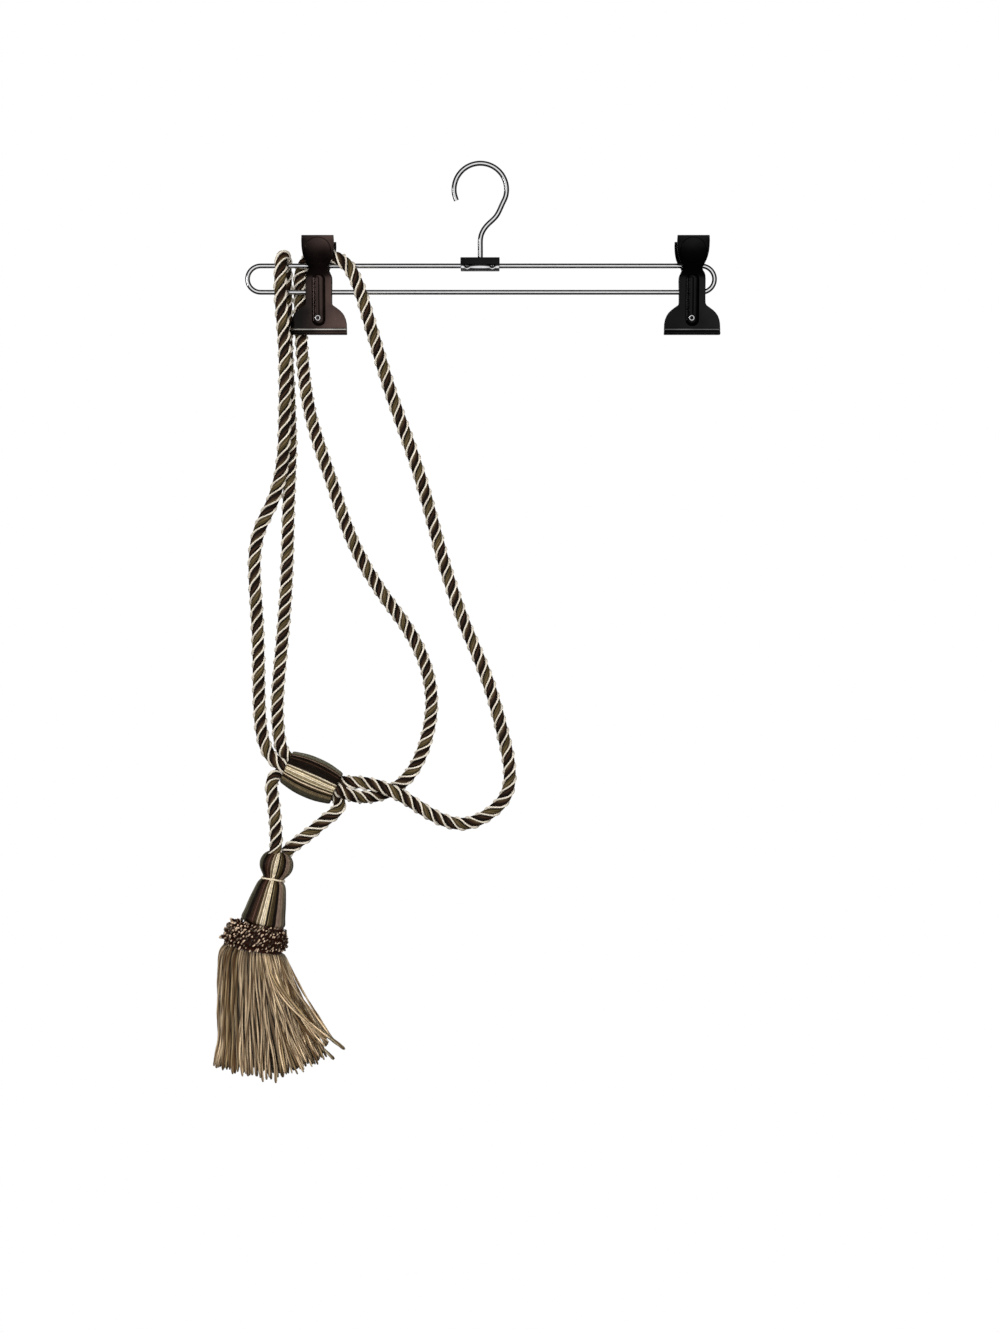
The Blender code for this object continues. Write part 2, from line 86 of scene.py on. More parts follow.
# The ends of the barrel's axis, and the cord's three passes about it: their distance from it, their turn and
# start angles in degrees, and the shares of the barrel's length where their points are.
BARREL_LEFT = Vector((-139.0, 0.0, -432.7))
BARREL_RIGHT = Vector((-104.2, 0.0, -448.1))
PASS_RADIUS = 5.85
PASS_TWIST = 120.0
PASS_STARTS = (150.0, -90.0, 30.0)
PASS_SHARES = (0.06, 0.28, 0.50, 0.72, 0.94)

# The hanger, its hook and its two clips.
WIRE_RADIUS = 1.8
UPPER_WIRE_Z = -72.0
LOWER_WIRE_Z = -91.0
HANGER_LEFT = -169.4
HANGER_RIGHT = 170.4
HOOK_WIRE_RADIUS = 1.9
HOOK_INNER_RADIUS = 17.0
HOOK_ARC_ANGLES = (-32.0, 205.0)
COLLAR_TOP_Z = -66.2
FIT_GAP = 0.3
HOOK_STEM = (
    (0.0, 0.0, COLLAR_TOP_Z + FIT_GAP), (0.0, 0.0, -58.0), (0.6, 0.0, -50.0), (5.2, 0.0, -42.4),
    (11.4, 0.0, -36.2),
)
CLIP_CENTRES = {"left": -116.2, "right": 152.4}
COLLAR_WEAR = (0.010, 0.010, 0.011)
CLIP_WEAR_AND_REFLECTION = {
    # the colours of the plate's patches and of the jaw's edge: rubbed wear, with painted reflection on the
    # plate and a painted highlight line on the edge
    "left": ((0.115, 0.072, 0.062), (0.60, 0.57, 0.52)),
    "right": ((0.013, 0.013, 0.014), (0.15, 0.15, 0.15)),
}
EDGE_WEAR_AND_HIGHLIGHT_FROM = -30.0
SPRING_RADIUS = 5.0
SPRING_LENGTH = 15.0
SPRING_Z = LOWER_WIRE_Z + WIRE_RADIUS + FIT_GAP + SPRING_RADIUS
COIL_WIRE = 0.62
COIL_TURNS = 11
COIL_STEPS = 20

# What is pressed out of a clip's plate, for the plate behind (the front one is its mirror).
PLATE_THICKNESS = 0.95
RIB = (4.9, 1.9, (-78.4, 7.9), (-115.6, 2.0))  # half width, height, z and y of the top and of the bottom
RIDGE = (1.9, 0.9, (-80.6, 9.1), (-112.0, 4.2))
RIDGE_X = -1.0
PAD_RADIUS = 9.6
PAD_DEPTH = 1.6
PAD_Y = 15.4
PAD_Z = -62.6
PAD_LEAN = 21.0
LIP_Y = 1.9
BEAD_RADIUS = 1.15
LOWER_BEAD = (-120.4, 20.3)  # z, half width
EDGE_BEAD = (-117.9, 20.2)
RIVET_PLACE = (-0.5, 5.4, -110.0)
RIVET_RADIUS = 1.65
RIVET_ROUNDING = 0.75
RIVET_LEAN = 9.0

# The collar's block with its teeth, and its sleeve's outline along the wire, with a dent under each tooth.
COLLAR_X = -0.2
COLLAR_SIZE = (28.2, 8.2, 5.2)
COLLAR_TEETH = (-9.5, 8.6)
TOOTH_RADIUS = 2.9
TOOTH_LENGTH = 7.8
TOOTH_RISE = 1.2
SLEEVE_Z = -72.9
SLEEVE_RADIUS = 3.1
SLEEVE_START = -14.1
SLEEVE_ROWS = (
    # x, share of the size at the row before
    (-11.6, 1.0), (-9.5, 0.62), (-7.4, 1.61), (6.4, 1.0), (8.6, 0.62), (10.8, 1.61), (13.8, 1.0),
)

# One clip plate from its lever's top to its jaw's edge.
PLATE_COLUMNS = 4
PLATE_ROWS = (
    # z, distance from the middle, half width
    (-52.3, 18.4, 11.5), (-56.0, 17.0, 11.7), (-60.0, 15.9, 11.6), (-63.0, 14.8, 11.3), (-66.0, 13.7, 10.7),
    (-68.5, 12.6, 9.9), (-71.0, 11.6, 8.7), (-73.0, 10.6, 7.4), (-75.0, 9.5, 7.0), (-76.4, 8.8, 7.6),
    (-77.8, 8.1, 8.6), (-79.6, 7.2, 9.2), (-82.0, 6.5, 9.4), (-86.0, 5.7, 9.4), (-91.0, 4.9, 9.4),
    (-96.0, 4.2, 9.4), (-99.0, 3.8, 9.5), (-100.6, 3.5, 10.2), (-102.4, 3.2, 12.8), (-104.2, 3.0, 15.2),
    (-106.0, 2.8, 17.0), (-108.0, 2.6, 18.4), (-110.5, 2.4, 19.4), (-113.5, 2.1, 20.0), (-117.6, 1.8, 20.2),
    (-120.6, 1.4, 20.2),
)

# The tassel, from the centre of its head's ball.
TASSEL_CENTRE = Vector((-146.7, 0.0, -502.9))
TASSEL_TILT = 13.3
RUFF_CENTRE = Vector((-160.4, 0.0, -554.0))
RUFF_TILT = 11.0
SKIRT_ROOT = Vector((-162.8, 0.0, -565.0))
SKIRT_ROOT_RADIUS = 21.0
SKIRT_BULGE = 3.6
SKIRT_HALF_DEPTH = 31.0

# The cord's route: x, y, z.
LEFT_LEG = (
    (-148.3, -3.9, -497.5), (-147.0, -3.9, -490.5), (-147.2, -3.4, -475.0), (-148.4, -2.2, -461.0),
    (-149.9, -0.6, -451.0), (-150.3, 0.8, -445.2), (-148.3, 2.0, -440.2), (-144.0, 2.8, -437.7),
)
INNER_STRAND = (
    (-98.0, -5.4, -451.0), (-91.0, -3.0, -453.6), (-83.0, 0.8, -454.6), (-74.0, 4.2, -453.4),
    (-64.0, 5.6, -449.6), (-55.2, 4.8, -443.0), (-48.2, 3.0, -434.5), (-42.0, 1.0, -422.0),
    (-36.9, 0.0, -404.0), (-35.1, 0.0, -384.0), (-40.8, 0.0, -356.0), (-54.4, 0.0, -330.0),
    (-69.6, 0.0, -309.0), (-92.0, 0.0, -270.0), (-105.8, 0.0, -231.0), (-121.6, 3.0, -182.0),
    (-127.8, 8.0, -145.0), (-129.8, 10.6, -118.0), (-130.6, 11.0, -98.0), (-130.9, 10.9, -84.0),
)
RIGHT_CROWN = (
    (-129.2, 8.9, -73.4), (-124.0, 5.0, -66.8), (-114.8, 0.0, -64.9), (-105.0, -5.2, -66.2),
)
OUTER_STRAND = (
    (-96.8, -8.4, -71.0), (-89.2, -9.0, -83.0), (-82.2, -7.8, -104.0), (-72.5, -4.0, -137.0),
    (-62.8, -2.0, -168.0), (-44.0, 0.0, -222.0), (-29.0, 0.0, -276.0), (-12.0, 0.0, -328.0),
    (5.4, 0.0, -371.0), (16.7, 0.0, -411.0), (21.0, 0.0, -434.0), (18.4, 0.0, -453.0),
    (6.0, 0.0, -466.5), (-11.0, 0.0, -473.5), (-29.0, -1.0, -470.0), (-47.0, -3.0, -459.5),
    (-62.0, -4.8, -450.6), (-75.0, -4.0, -445.8), (-86.0, -1.4, -443.8), (-95.0, 1.2, -443.6),
)
FRONT_STRAND = (
    (-145.0, -5.8, -429.9), (-152.2, -5.0, -422.0), (-156.9, -3.8, -408.5), (-159.0, -2.5, -385.0),
    (-160.0, -1.0, -340.0), (-162.0, -0.5, -305.0), (-162.5, -0.5, -283.0), (-158.5, -1.0, -261.0),
    (-150.0, -2.0, -243.0), (-142.5, -4.0, -215.0), (-140.4, -7.0, -180.0), (-140.0, -9.6, -145.0),
    (-141.2, -12.0, -118.0), (-142.8, -14.0, -97.0),
)
LEFT_CROWN = (
    (-143.0, -13.9, -82.0), (-142.4, -10.8, -70.6), (-141.5, 0.0, -65.1), (-141.0, 10.8, -70.6),
    (-140.9, 14.0, -82.0),
)
BACK_STRAND = (
    (-140.6, 14.0, -98.0), (-140.4, 12.5, -122.0), (-139.0, 10.4, -150.0), (-137.6, 8.4, -180.0),
    (-137.0, 6.4, -205.0), (-138.2, 4.4, -240.0), (-139.2, 3.0, -284.0), (-141.8, 2.0, -330.0),
    (-145.0, 2.0, -366.0), (-146.3, 2.0, -392.0), (-145.2, 2.5, -410.0), (-142.0, 2.8, -422.0),
)
RIGHT_LEG = (
    (-106.2, 2.9, -452.7), (-102.6, 3.1, -456.0), (-101.8, 3.3, -461.0), (-104.7, 3.3, -465.6),
    (-110.0, 3.2, -469.8), (-118.0, 3.2, -476.5), (-128.0, 3.6, -484.4), (-137.0, 3.9, -491.4),
    (-141.6, 3.9, -496.0),
)


def srgb(red, green, blue):
    """A colour as a screen shows it, 0 to 255, in the linear numbers that shaders use."""
    return np.array([((c / 255 + 0.055) / 1.055) ** 2.4 for c in (red, green, blue)])


# Yarn colours.
CHOCOLATE = srgb(48, 32, 22)
BLACK_BROWN = srgb(20, 13, 8)
OLIVE = srgb(71, 60, 36)
CREAM = srgb(218, 203, 176)
GIMP_CREAM = srgb(212, 202, 186)
CREAM_GOLD = srgb(202, 186, 152)
GOLD_SHADE = srgb(150, 134, 102)
PALE_TAUPE = srgb(184, 164, 138)
RED_BROWN = srgb(82, 58, 48)
# Painted shade on the coverings' rims, as seen from the front.
PAINTED_RIM_SHADE = srgb(60, 56, 44)
PLY_STREAK = srgb(90, 76, 52)
TAUPE = srgb(144, 126, 102)
OLIVE_TAUPE = srgb(104, 90, 66)
DARK_OLIVE = srgb(56, 45, 26)
MAUVE_TAUPE = srgb(116, 97, 84)
# Painted sheen on the coverings' rims, as seen from the front.
PAINTED_RIM_SHEEN = srgb(94, 91, 77)
GREY_BROWN = srgb(104, 94, 80)
RUFF_BROWN = srgb(56, 30, 20)
RUFF_BEIGE = srgb(190, 166, 142)
SKIRT_TAN = srgb(204, 180, 146)
SKIRT_BROWN = srgb(112, 92, 66)
SKIRT_OLIVE = srgb(160, 138, 102)
# Painted shade in the groove between a strand's two yarns.
SKIRT_SHADE = srgb(60, 38, 16)
SKIRT_LOOSE = srgb(150, 140, 116)

# The yarns of each ply of the cord, side by side.
PLY_YARNS = (
    (CHOCOLATE, BLACK_BROWN, CHOCOLATE, PLY_STREAK),
    (BLACK_BROWN, BLACK_BROWN, CHOCOLATE, BLACK_BROWN),
    (OLIVE, PLY_STREAK, OLIVE, BLACK_BROWN),
)

# One repeat of each striped covering, half of the way round: the head's from its left side over the front to
# its right side, and the barrel's from its top over the front to its underside.
# The grey and the dark rim colours in these repeats are painted sheen and painted shade on the rims, as seen
# from the front.
YARNS = 76
HEAD_STRIPES = (
    *[PAINTED_RIM_SHEEN] * 6, *[PAINTED_RIM_SHADE] * 3, *[BLACK_BROWN] * 3, *[CHOCOLATE] * 2, RED_BROWN, CHOCOLATE,
    DARK_OLIVE, PALE_TAUPE, OLIVE_TAUPE, CREAM, CREAM, CREAM_GOLD, BLACK_BROWN, OLIVE_TAUPE,
    *[DARK_OLIVE] * 2, *[BLACK_BROWN] * 2,
    *[MAUVE_TAUPE] * 3, TAUPE, *[GREY_BROWN] * 3, *[PAINTED_RIM_SHADE] * 3,
)
BARREL_STRIPES = (
    *[PAINTED_RIM_SHEEN] * 6, DARK_OLIVE, MAUVE_TAUPE, *[BLACK_BROWN] * 2, CHOCOLATE, *[BLACK_BROWN] * 5, CREAM,
    OLIVE_TAUPE, CREAM_GOLD, CREAM, GOLD_SHADE, CREAM_GOLD, DARK_OLIVE, PALE_TAUPE, DARK_OLIVE, BLACK_BROWN,
    *[OLIVE_TAUPE] * 3, *[PAINTED_RIM_SHADE] * 9,
)


# ---------------------------------------------------------------- shader arithmetic


class Field:
    """A number that varies over a surface. Arithmetic on it adds Math nodes to its finish."""

    def __init__(self, finish, socket):
        self.finish = finish
        self.socket = socket

    def math(self, operation, first, second):
        made = self.finish.node("ShaderNodeMath", {"operation": operation}, {0: first, 1: second})
        return Field(self.finish, made.outputs[0])

    def __add__(self, other):
        return self.math("ADD", self, other)

    def __mul__(self, other):
        return self.math("MULTIPLY", self, other)

    def __sub__(self, other):
        return self.math("SUBTRACT", self, other)

    def __pow__(self, other):
        return self.math("POWER", self, other)

    def clamped(self):
        return self.math("MAXIMUM", self.math("MINIMUM", self, 1.0), 0.0)


class Finish:
    """A material built on one Principled shader, whose plain settings are given by name."""

    def __init__(self, name, **settings):
        self.material = bpy.data.materials.new(name)
        self.material.use_nodes = True
        self.tree = self.material.node_tree
        self.shader = self.tree.nodes["Principled BSDF"]
        for setting, value in settings.items():
            self.shader.inputs[setting.replace("_", " ")].default_value = value

    def node(self, kind, settings=None, inputs=None):
        """Adds any node: its settings first, then the values or links of its sockets."""
        made = self.tree.nodes.new(kind)
        for setting, value in (settings or {}).items():
            setattr(made, setting, value)
        for place, value in (inputs or {}).items():
            self.feed(made.inputs[place], value)
        return made

    def feed(self, socket, value):
        if isinstance(value, Field):
            value = value.socket
        if isinstance(value, bpy.types.NodeSocket):
            self.tree.links.new(value, socket)
        else:
            socket.default_value = value

    def surface(self, **inputs):
        """Feeds the shader's varying sockets."""
        for name, value in inputs.items():
            self.feed(self.shader.inputs[name.replace("_", " ")], value)

    def noise(self, place, scale, detail, stretch=(1.0, 1.0, 1.0)):
        """Smooth noise between 0 and 1 at the given coordinates, stretched along some of them."""
        mapping = self.node("ShaderNodeMapping", None, {"Vector": place, "Scale": stretch})
        made = self.node(
            "ShaderNodeTexNoise", None, {"Vector": mapping.outputs[0], "Scale": scale, "Detail": detail}
        )
        return Field(self, made.outputs["Fac"])

    def object_place(self):
        return self.node("ShaderNodeTexCoord").outputs["Object"]

    def mix(self, share, first, second):
        """A colour between two colours."""
        made = self.node("ShaderNodeMix", {"data_type": "RGBA"}, {0: share, 6: first, 7: second})
        return made.outputs[2]

    def brighten(self, colour, amount):
        """The colour multiplied by a varying number."""
        made = self.node("ShaderNodeVectorMath", {"operation": "SCALE"}, {0: colour, "Scale": amount})
        return made.outputs[0]

    def bump(self, height, distance, strength):
        made = self.node(
            "ShaderNodeBump", None, {"Height": height, "Distance": distance, "Strength": strength}
        )
        return made.outputs["Normal"]


def yarn_finish(name, fibres, slant, gloss, sheen):
    """Satin or spun yarn: the colour given at each point, with the painted shade and sheen that it carries,
    fine filaments along it, and a little lint.

    fibres is how many filaments lie across one yarn's UV width, and slant how far they lean, as the twist
    of the yarn makes them.
    """
    finish = Finish(name, Specular_IOR_Level=0.12, Sheen_Weight=sheen, Sheen_Roughness=0.4)
    colour = finish.node("ShaderNodeAttribute", {"attribute_name": "yarn_colour"}).outputs["Color"]
    uv = finish.node("ShaderNodeUVMap", {"uv_map": "yarn"}).outputs[0]
    parts = finish.node("ShaderNodeSeparateXYZ", None, {0: uv})
    across = Field(finish, parts.outputs[0])
    along = Field(finish, parts.outputs[1])
    leaning = finish.node(
        "ShaderNodeCombineXYZ", None, {0: across * fibres + along * slant, 1: along * 90.0}
    ).outputs[0]
    filament = finish.noise(leaning, scale=1.0, detail=2.0)
    lint = finish.noise(finish.object_place(), scale=420.0, detail=3.0)
    cloudy = finish.noise(finish.object_place(), scale=60.0, detail=1.0)
    shade = filament * 0.80 + cloudy * 0.30 + lint * 0.35 + 0.28
    finish.surface(
        Base_Color=finish.brighten(colour, shade),
        Roughness=(lint + filament) * 0.16 + gloss,
        Normal=finish.bump(filament + lint * 0.4, distance=0.0003, strength=0.55),
    )
    return finish.material


def chrome_finish():
    """Bright plating with faint drawing lines and small dull spots."""
    finish = Finish("plated wire", Metallic=1.0, Specular_IOR_Level=0.5)
    place = finish.object_place()
    spots = finish.noise(place, scale=900.0, detail=3.0)
    drawn = finish.noise(place, scale=1500.0, detail=1.0, stretch=(0.03, 1.0, 1.0))
    dull = spots**3.0
    finish.surface(
        Base_Color=finish.mix(dull * 1.4, (0.72, 0.72, 0.74, 1.0), (0.46, 0.44, 0.42, 1.0)),
        Roughness=dull * 0.25 + drawn * 0.03 + 0.02,
        Normal=finish.bump(drawn, distance=0.00003, strength=0.3),
    )
    return finish.material


def black_nickel_finish(name, wear_and_reflection, wear_and_reflection_from):
    """Glossy black nickel with fine scratches, and another colour in patches, mostly right of an x: rubbed
    wear, which on the clips also stands for painted reflection and painted highlight.
    """
    finish = Finish(name, Metallic=0.97, Specular_IOR_Level=0.5, Coat_Roughness=0.12)
    place = finish.object_place()
    patches = finish.noise(place, scale=60.0, detail=3.0)
    sideways = finish.node("ShaderNodeSeparateXYZ", None, {0: place}).outputs[0]
    rightness = (Field(finish, sideways) - wear_and_reflection_from * MM) * 28.0 + 0.35
    wear_and_reflection_share = (rightness.clamped() * 0.95 + 0.05) * patches * 1.7
    scratches = finish.noise(place, scale=700.0, detail=2.0, stretch=(1.0, 1.0, 0.08))
    finish.surface(
        Base_Color=finish.mix(wear_and_reflection_share, (0.004, 0.004, 0.004, 1.0), (*wear_and_reflection, 1.0)),
        Roughness=patches * 0.16 + scratches * 0.10 + 0.06,
        Coat_Weight=patches * 0.12,
        Normal=finish.bump(scratches + patches * 2.0, distance=0.00008, strength=0.35),
    )
    return finish.material


def spring_finish():
    """Drawn spring wire, oiled and a little brown."""
    finish = Finish("spring wire", Metallic=1.0)
    place = finish.object_place()
    stain = finish.noise(place, scale=500.0, detail=3.0)
    finish.surface(
        Base_Color=finish.mix(stain, (0.34, 0.34, 0.35, 1.0), (0.20, 0.17, 0.15, 1.0)),
        Roughness=stain * 0.25 + 0.22,
        Normal=finish.bump(stain, distance=0.00005, strength=0.3),
    )
    return finish.material


# ---------------------------------------------------------------- lines, rings and skins


def unit(vectors):
    return vectors / np.linalg.norm(vectors, axis=-1, keepdims=True)


def even_angles(count):
    """That many angles evenly round a circle, in radians."""
    return 2 * math.pi * np.arange(count) / count


def smooth_curve(points, spacing):
    """Evenly spaced points on the natural cubic spline through the given points."""
    points = np.asarray(points, float)
    gaps = np.linalg.norm(np.diff(points, axis=0), axis=1) ** 0.75
    knots = np.concatenate([[0.0], np.cumsum(gaps)])
    count = len(points)
    system = np.eye(count)
    right_side = np.zeros(points.shape)
    for i in range(1, count - 1):
        before = gaps[i - 1]
        after = gaps[i]
        system[i, i - 1 : i + 2] = before, 2 * (before + after), after
        slope_after = (points[i + 1] - points[i]) / after
        slope_before = (points[i] - points[i - 1]) / before
        right_side[i] = 6 * (slope_after - slope_before)
    bends = np.linalg.solve(system, right_side)

    fine = np.linspace(0.0, knots[-1], 200 * count)
    i = np.clip(np.searchsorted(knots, fine, side="right") - 1, 0, count - 2)
    gap = gaps[i][:, None]
    left = ((knots[i + 1] - fine) / gaps[i])[:, None]
    right = 1 - left
    curve = left * points[i] + right * points[i + 1]
    curve += ((left**3 - left) * bends[i] + (right**3 - right) * bends[i + 1]) * gap**2 / 6

    run = np.concatenate([[0.0], np.cumsum(np.linalg.norm(np.diff(curve, axis=0), axis=1))])
    steps = max(2, round(run[-1] / spacing))
    stations = np.linspace(0.0, run[-1], steps + 1)
    return np.stack([np.interp(stations, run, column) for column in curve.T], axis=1)


def level_frames(line):
    """Two directions across the line at each of its points, carried along it without twisting."""
    tangents = unit(np.gradient(line, axis=0))
    normals = np.empty_like(tangents)
    normal = np.cross((0.0, 1.0, 0.0), tangents[0])
    if np.linalg.norm(normal) < 0.1:
        normal = np.cross((1.0, 0.0, 0.0), tangents[0])
    for step, tangent in enumerate(tangents):
        normal = normal - tangent * (normal @ tangent)
        normal = normal / np.linalg.norm(normal)
        normals[step] = normal
    return normals, np.cross(tangents, normals)


def tube_rings(line, frames, angles, radii):
    """Rings of points about a line, at the given angles and distances from it."""
    normals, binormals = frames
    cosines = np.cos(angles)[..., None]
    sines = np.sin(angles)[..., None]
    across = normals[:, None, :] * cosines + binormals[:, None, :] * sines
    return line[:, None, :] + across * radii[..., None]


def run_along(rings):
    """The distance run at each ring, along the middles or along the first points, whichever is longer."""
    middles = rings.mean(axis=1)
    edge = rings[:, 0]
    steps = np.linalg.norm(np.diff(middles, axis=0, append=middles[-1:]), axis=1)
    edge_steps = np.linalg.norm(np.diff(edge, axis=0, append=edge[-1:]), axis=1)
    return np.concatenate([[0.0], np.cumsum(np.maximum(steps, edge_steps))])


class Skin:
    """Tubes and shells gathered into one mesh, with a yarn colour at each point and a UV at each corner."""

    def __init__(self):
        self.points = []
        self.colours = []
        self.faces = []
        self.uvs = []
        self.count = 0

    def tube(self, rings, colours, closed=False):
        """Adds rings of points in millimetres, each anticlockwise about the way that the rings run."""
        rows, sides, _ = rings.shape
        number = self.count + np.arange(rows * sides).reshape(rows, sides)
        row = np.arange(rows if closed else rows - 1)[:, None]
        side = np.arange(sides)[None, :]
        row_after = (row + 1) % rows
        side_after = (side + 1) % sides
        corners = ((row, side), (row, side_after), (row_after, side_after), (row_after, side))
        quads = np.stack([number[corner] for corner in corners], axis=-1).reshape(-1, 4)
        self.faces.extend(quads.tolist())

        along = run_along(rings) * MM
        width = np.broadcast_to(side / sides, (len(row), sides))
        near = np.broadcast_to(along[row], (len(row), sides))
        far = np.broadcast_to(along[row + 1], (len(row), sides))
        step = 1 / sides
        corners = [(width, near), (width + step, near), (width + step, far), (width, far)]
        self.uvs.append(np.stack([np.stack(corner, axis=-1) for corner in corners], axis=2).reshape(-1, 2))

        if not closed:
            for ring, place in ((number[0][::-1], along[0]), (number[-1], along[-1])):
                self.faces.append(ring.tolist())
                self.uvs.append(np.tile((0.5, place), (sides, 1)))
        self.points.append(rings.reshape(-1, 3) * MM)
        self.colours.append(np.broadcast_to(colours, rings.shape).reshape(-1, 3))
        self.count += rows * sides

    def piece(self, name, look, slot, *replaced):
        mesh = bpy.data.meshes.new(name)
        points = np.concatenate(self.points)
        mesh.from_pydata(points, [], self.faces)
        colours = np.concatenate(self.colours)
        colours = np.concatenate([colours, np.ones((len(colours), 1))], axis=1)
        attribute = mesh.attributes.new("yarn_colour", "FLOAT_COLOR", "POINT")
        attribute.data.foreach_set("color", colours.astype(np.float32).ravel())
        layer = mesh.uv_layers.new(name="yarn")
        layer.data.foreach_set("uv", np.concatenate(self.uvs).astype(np.float32).ravel())
        mesh.shade_smooth()
        made = bpy.data.objects.new(name, mesh)
        bpy.context.collection.objects.link(made)
        return settle(made, look, slot, *replaced)


def settle(piece, look, slot, *replaced):
    """Gives a finished piece its material and its body, and hides the CAD nodes that it stands for. Its slot
    is not used.
    """
    piece.data.materials.clear()
    piece.data.materials.append(look)
    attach(piece, "root")
    if replaced:
        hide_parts(*replaced)
    return piece


def slow_wave(generator, count, spacing):
    """Smooth random numbers between -1 and 1, which change over about the given number of steps."""
    knots = generator.uniform(-1.0, 1.0, count // spacing + 3)
    return np.interp(np.arange(count) / spacing, np.arange(len(knots)), knots)


# ---------------------------------------------------------------- the cord


def barrel_axis():
    """Unit directions of the barrel: along it to the right, up across it, and to the back."""
    along = (BARREL_RIGHT - BARREL_LEFT).normalized()
    return along, Vector((-along.z, 0.0, along.x)), Vector((0.0, 1.0, 0.0))


def barrel_pass(start_angle, leftwards=False):
    """A strand's points through the barrel, turning about its axis from left to right."""
    along, up, back = barrel_axis()
    length = (BARREL_RIGHT - BARREL_LEFT).length
    points = []
    for share in PASS_SHARES:
        eased = share * share * (3 - 2 * share)
        angle = math.radians(start_angle + PASS_TWIST * eased)
        offset = up * math.cos(angle) + back * math.sin(angle)
        points.append(BARREL_LEFT + along * (length * share) + offset * PASS_RADIUS)
    return points[::-1] if leftwards else points


def cord_route():
    """The cord from end to end: head, barrel, right loop, barrel, left loop, barrel, head."""
    first, second, third = PASS_STARTS
    route = [
        *LEFT_LEG, *barrel_pass(first), *INNER_STRAND, *RIGHT_CROWN, *OUTER_STRAND,
        *barrel_pass(second, leftwards=True), *FRONT_STRAND, *LEFT_CROWN, *BACK_STRAND,
        *barrel_pass(third), *RIGHT_LEG,
    ]
    return np.array([tuple(point) for point in route])


def cord_turn(line):
    """How far the plies have turned at each point of the cord's line, where the lay varies along it."""
    step = np.linalg.norm(line[1] - line[0])
    lay = np.interp(np.linspace(0.0, 1.0, len(line)), *zip(*CORD_LAYS))
    rate = 2 * math.pi / lay
    return np.concatenate([[0.0], np.cumsum((rate[1:] + rate[:-1]) / 2 * step)])


def ply_section():
    """Distance from the cord's centre, and painted shade, at each point round one ply: fine ribs on a round
    lobe.
    """
    share = np.arange(PLY_POINTS) / PLY_POINTS
    width = 360.0 / PLIES
    angle = np.radians(width * share - width / 2)
    radius = LOBE_OFFSET * np.cos(angle) + np.sqrt(LOBE_RADIUS**2 - (LOBE_OFFSET * np.sin(angle)) ** 2)
    valley = np.arange(PLY_POINTS) % RIB_POINTS == 0
    radius = radius + np.where(valley, *RIB_HEIGHTS)
    shade = np.where(valley, *RIB_SHADES)
    shade[0] = GROOVE_SHADE
    shade[[1, -1]] *= GROOVE_SIDE_SHADE
    return radius, shade


def make_cord(look, gimp_look):
    generator = np.random.default_rng(SEEDS["cord"])
    line = smooth_curve(cord_route(), CORD_STEP)
    frames = level_frames(line)
    count = len(line)
    turn = cord_turn(line)

    points = PLIES * PLY_POINTS
    section, shade = ply_section()
    around = even_angles(points) - math.pi / PLIES
    angles = turn[:, None] + around[None, :]
    radii = np.tile(section, PLIES)[None, :].repeat(count, axis=0)
    colours = np.empty((count, points, 3))
    for ply, yarns in enumerate(PLY_YARNS):
        first = ply * PLY_POINTS
        radii[:, first + 1 : first + PLY_POINTS] += PLY_WAVE * slow_wave(generator, count, 9)[:, None]
        for point in range(PLY_POINTS):
            wave = 1 + STREAK_WAVE * slow_wave(generator, count, 14)
            colours[:, first + point] = yarns[point // RIB_POINTS] * (shade[point] * wave)[:, None]
    skin = Skin()
    skin.tube(tube_rings(line, frames, angles, radii), colours)
    plies = skin.piece("cord_plies", look, "cord_yarn", "tieback_cord")

    gimp = make_gimp(gimp_look, generator)


def make_gimp(look, generator):
    """The three pale gimp lines that wind round in the grooves between the plies."""
    line = smooth_curve(cord_route(), GIMP_STEP)
    normals, binormals = level_frames(line)
    count = len(line)
    turn = cord_turn(line)
    skin = Skin()
    for ply in range(PLIES):
        angle = turn + 2 * math.pi * (ply + 0.5) / PLIES
        outward = normals * np.cos(angle)[:, None] + binormals * np.sin(angle)[:, None]
        lift = GIMP_CENTRE_RADIUS + GIMP_WAVE * slow_wave(generator, count, 10)
        helix = line + outward * lift[:, None]
        tangents = unit(np.gradient(helix, axis=0))
        side_way = unit(np.cross(tangents, outward))
        frames = (np.cross(side_way, tangents), side_way)
        around = even_angles(GIMP_SIDES)
        angles = np.broadcast_to(around, (count, GIMP_SIDES))
        oval = np.hypot(GIMP_HALF_WIDTH * np.cos(around), GIMP_HEIGHT * np.sin(around))
        swell = 1 + GIMP_SWELL * slow_wave(generator, count, 5)
        radii = (GIMP_HEIGHT * GIMP_HALF_WIDTH / oval) * swell[:, None]
        tone = 0.95 + 0.10 * slow_wave(generator, count, 16)
        skin.tube(tube_rings(helix, frames, angles, radii), GIMP_CREAM * tone[:, None, None])
    return skin.piece("cord_gimp", look, "cord_yarn")


# ---------------------------------------------------------------- the barrel and the tassel's head


# The section of a covering's yarn, from the groove beside it: how far out each point is, and its painted
# shade, darkest in the groove between yarns.
COVERING_BULGE = np.array([0.0, 0.78, 0.98, 0.98, 0.78])
COVERING_SHADE = np.array([0.16, 0.80, 1.0, 1.0, 0.80])
COVERING_LEVEL = 0.8
YARN_WANDER = 0.16
YARN_STEP = 0.05
YARN_TONES = (0.78, 1.22)
RIB_MOST = 0.5
RIB_TO_PITCH = 0.42


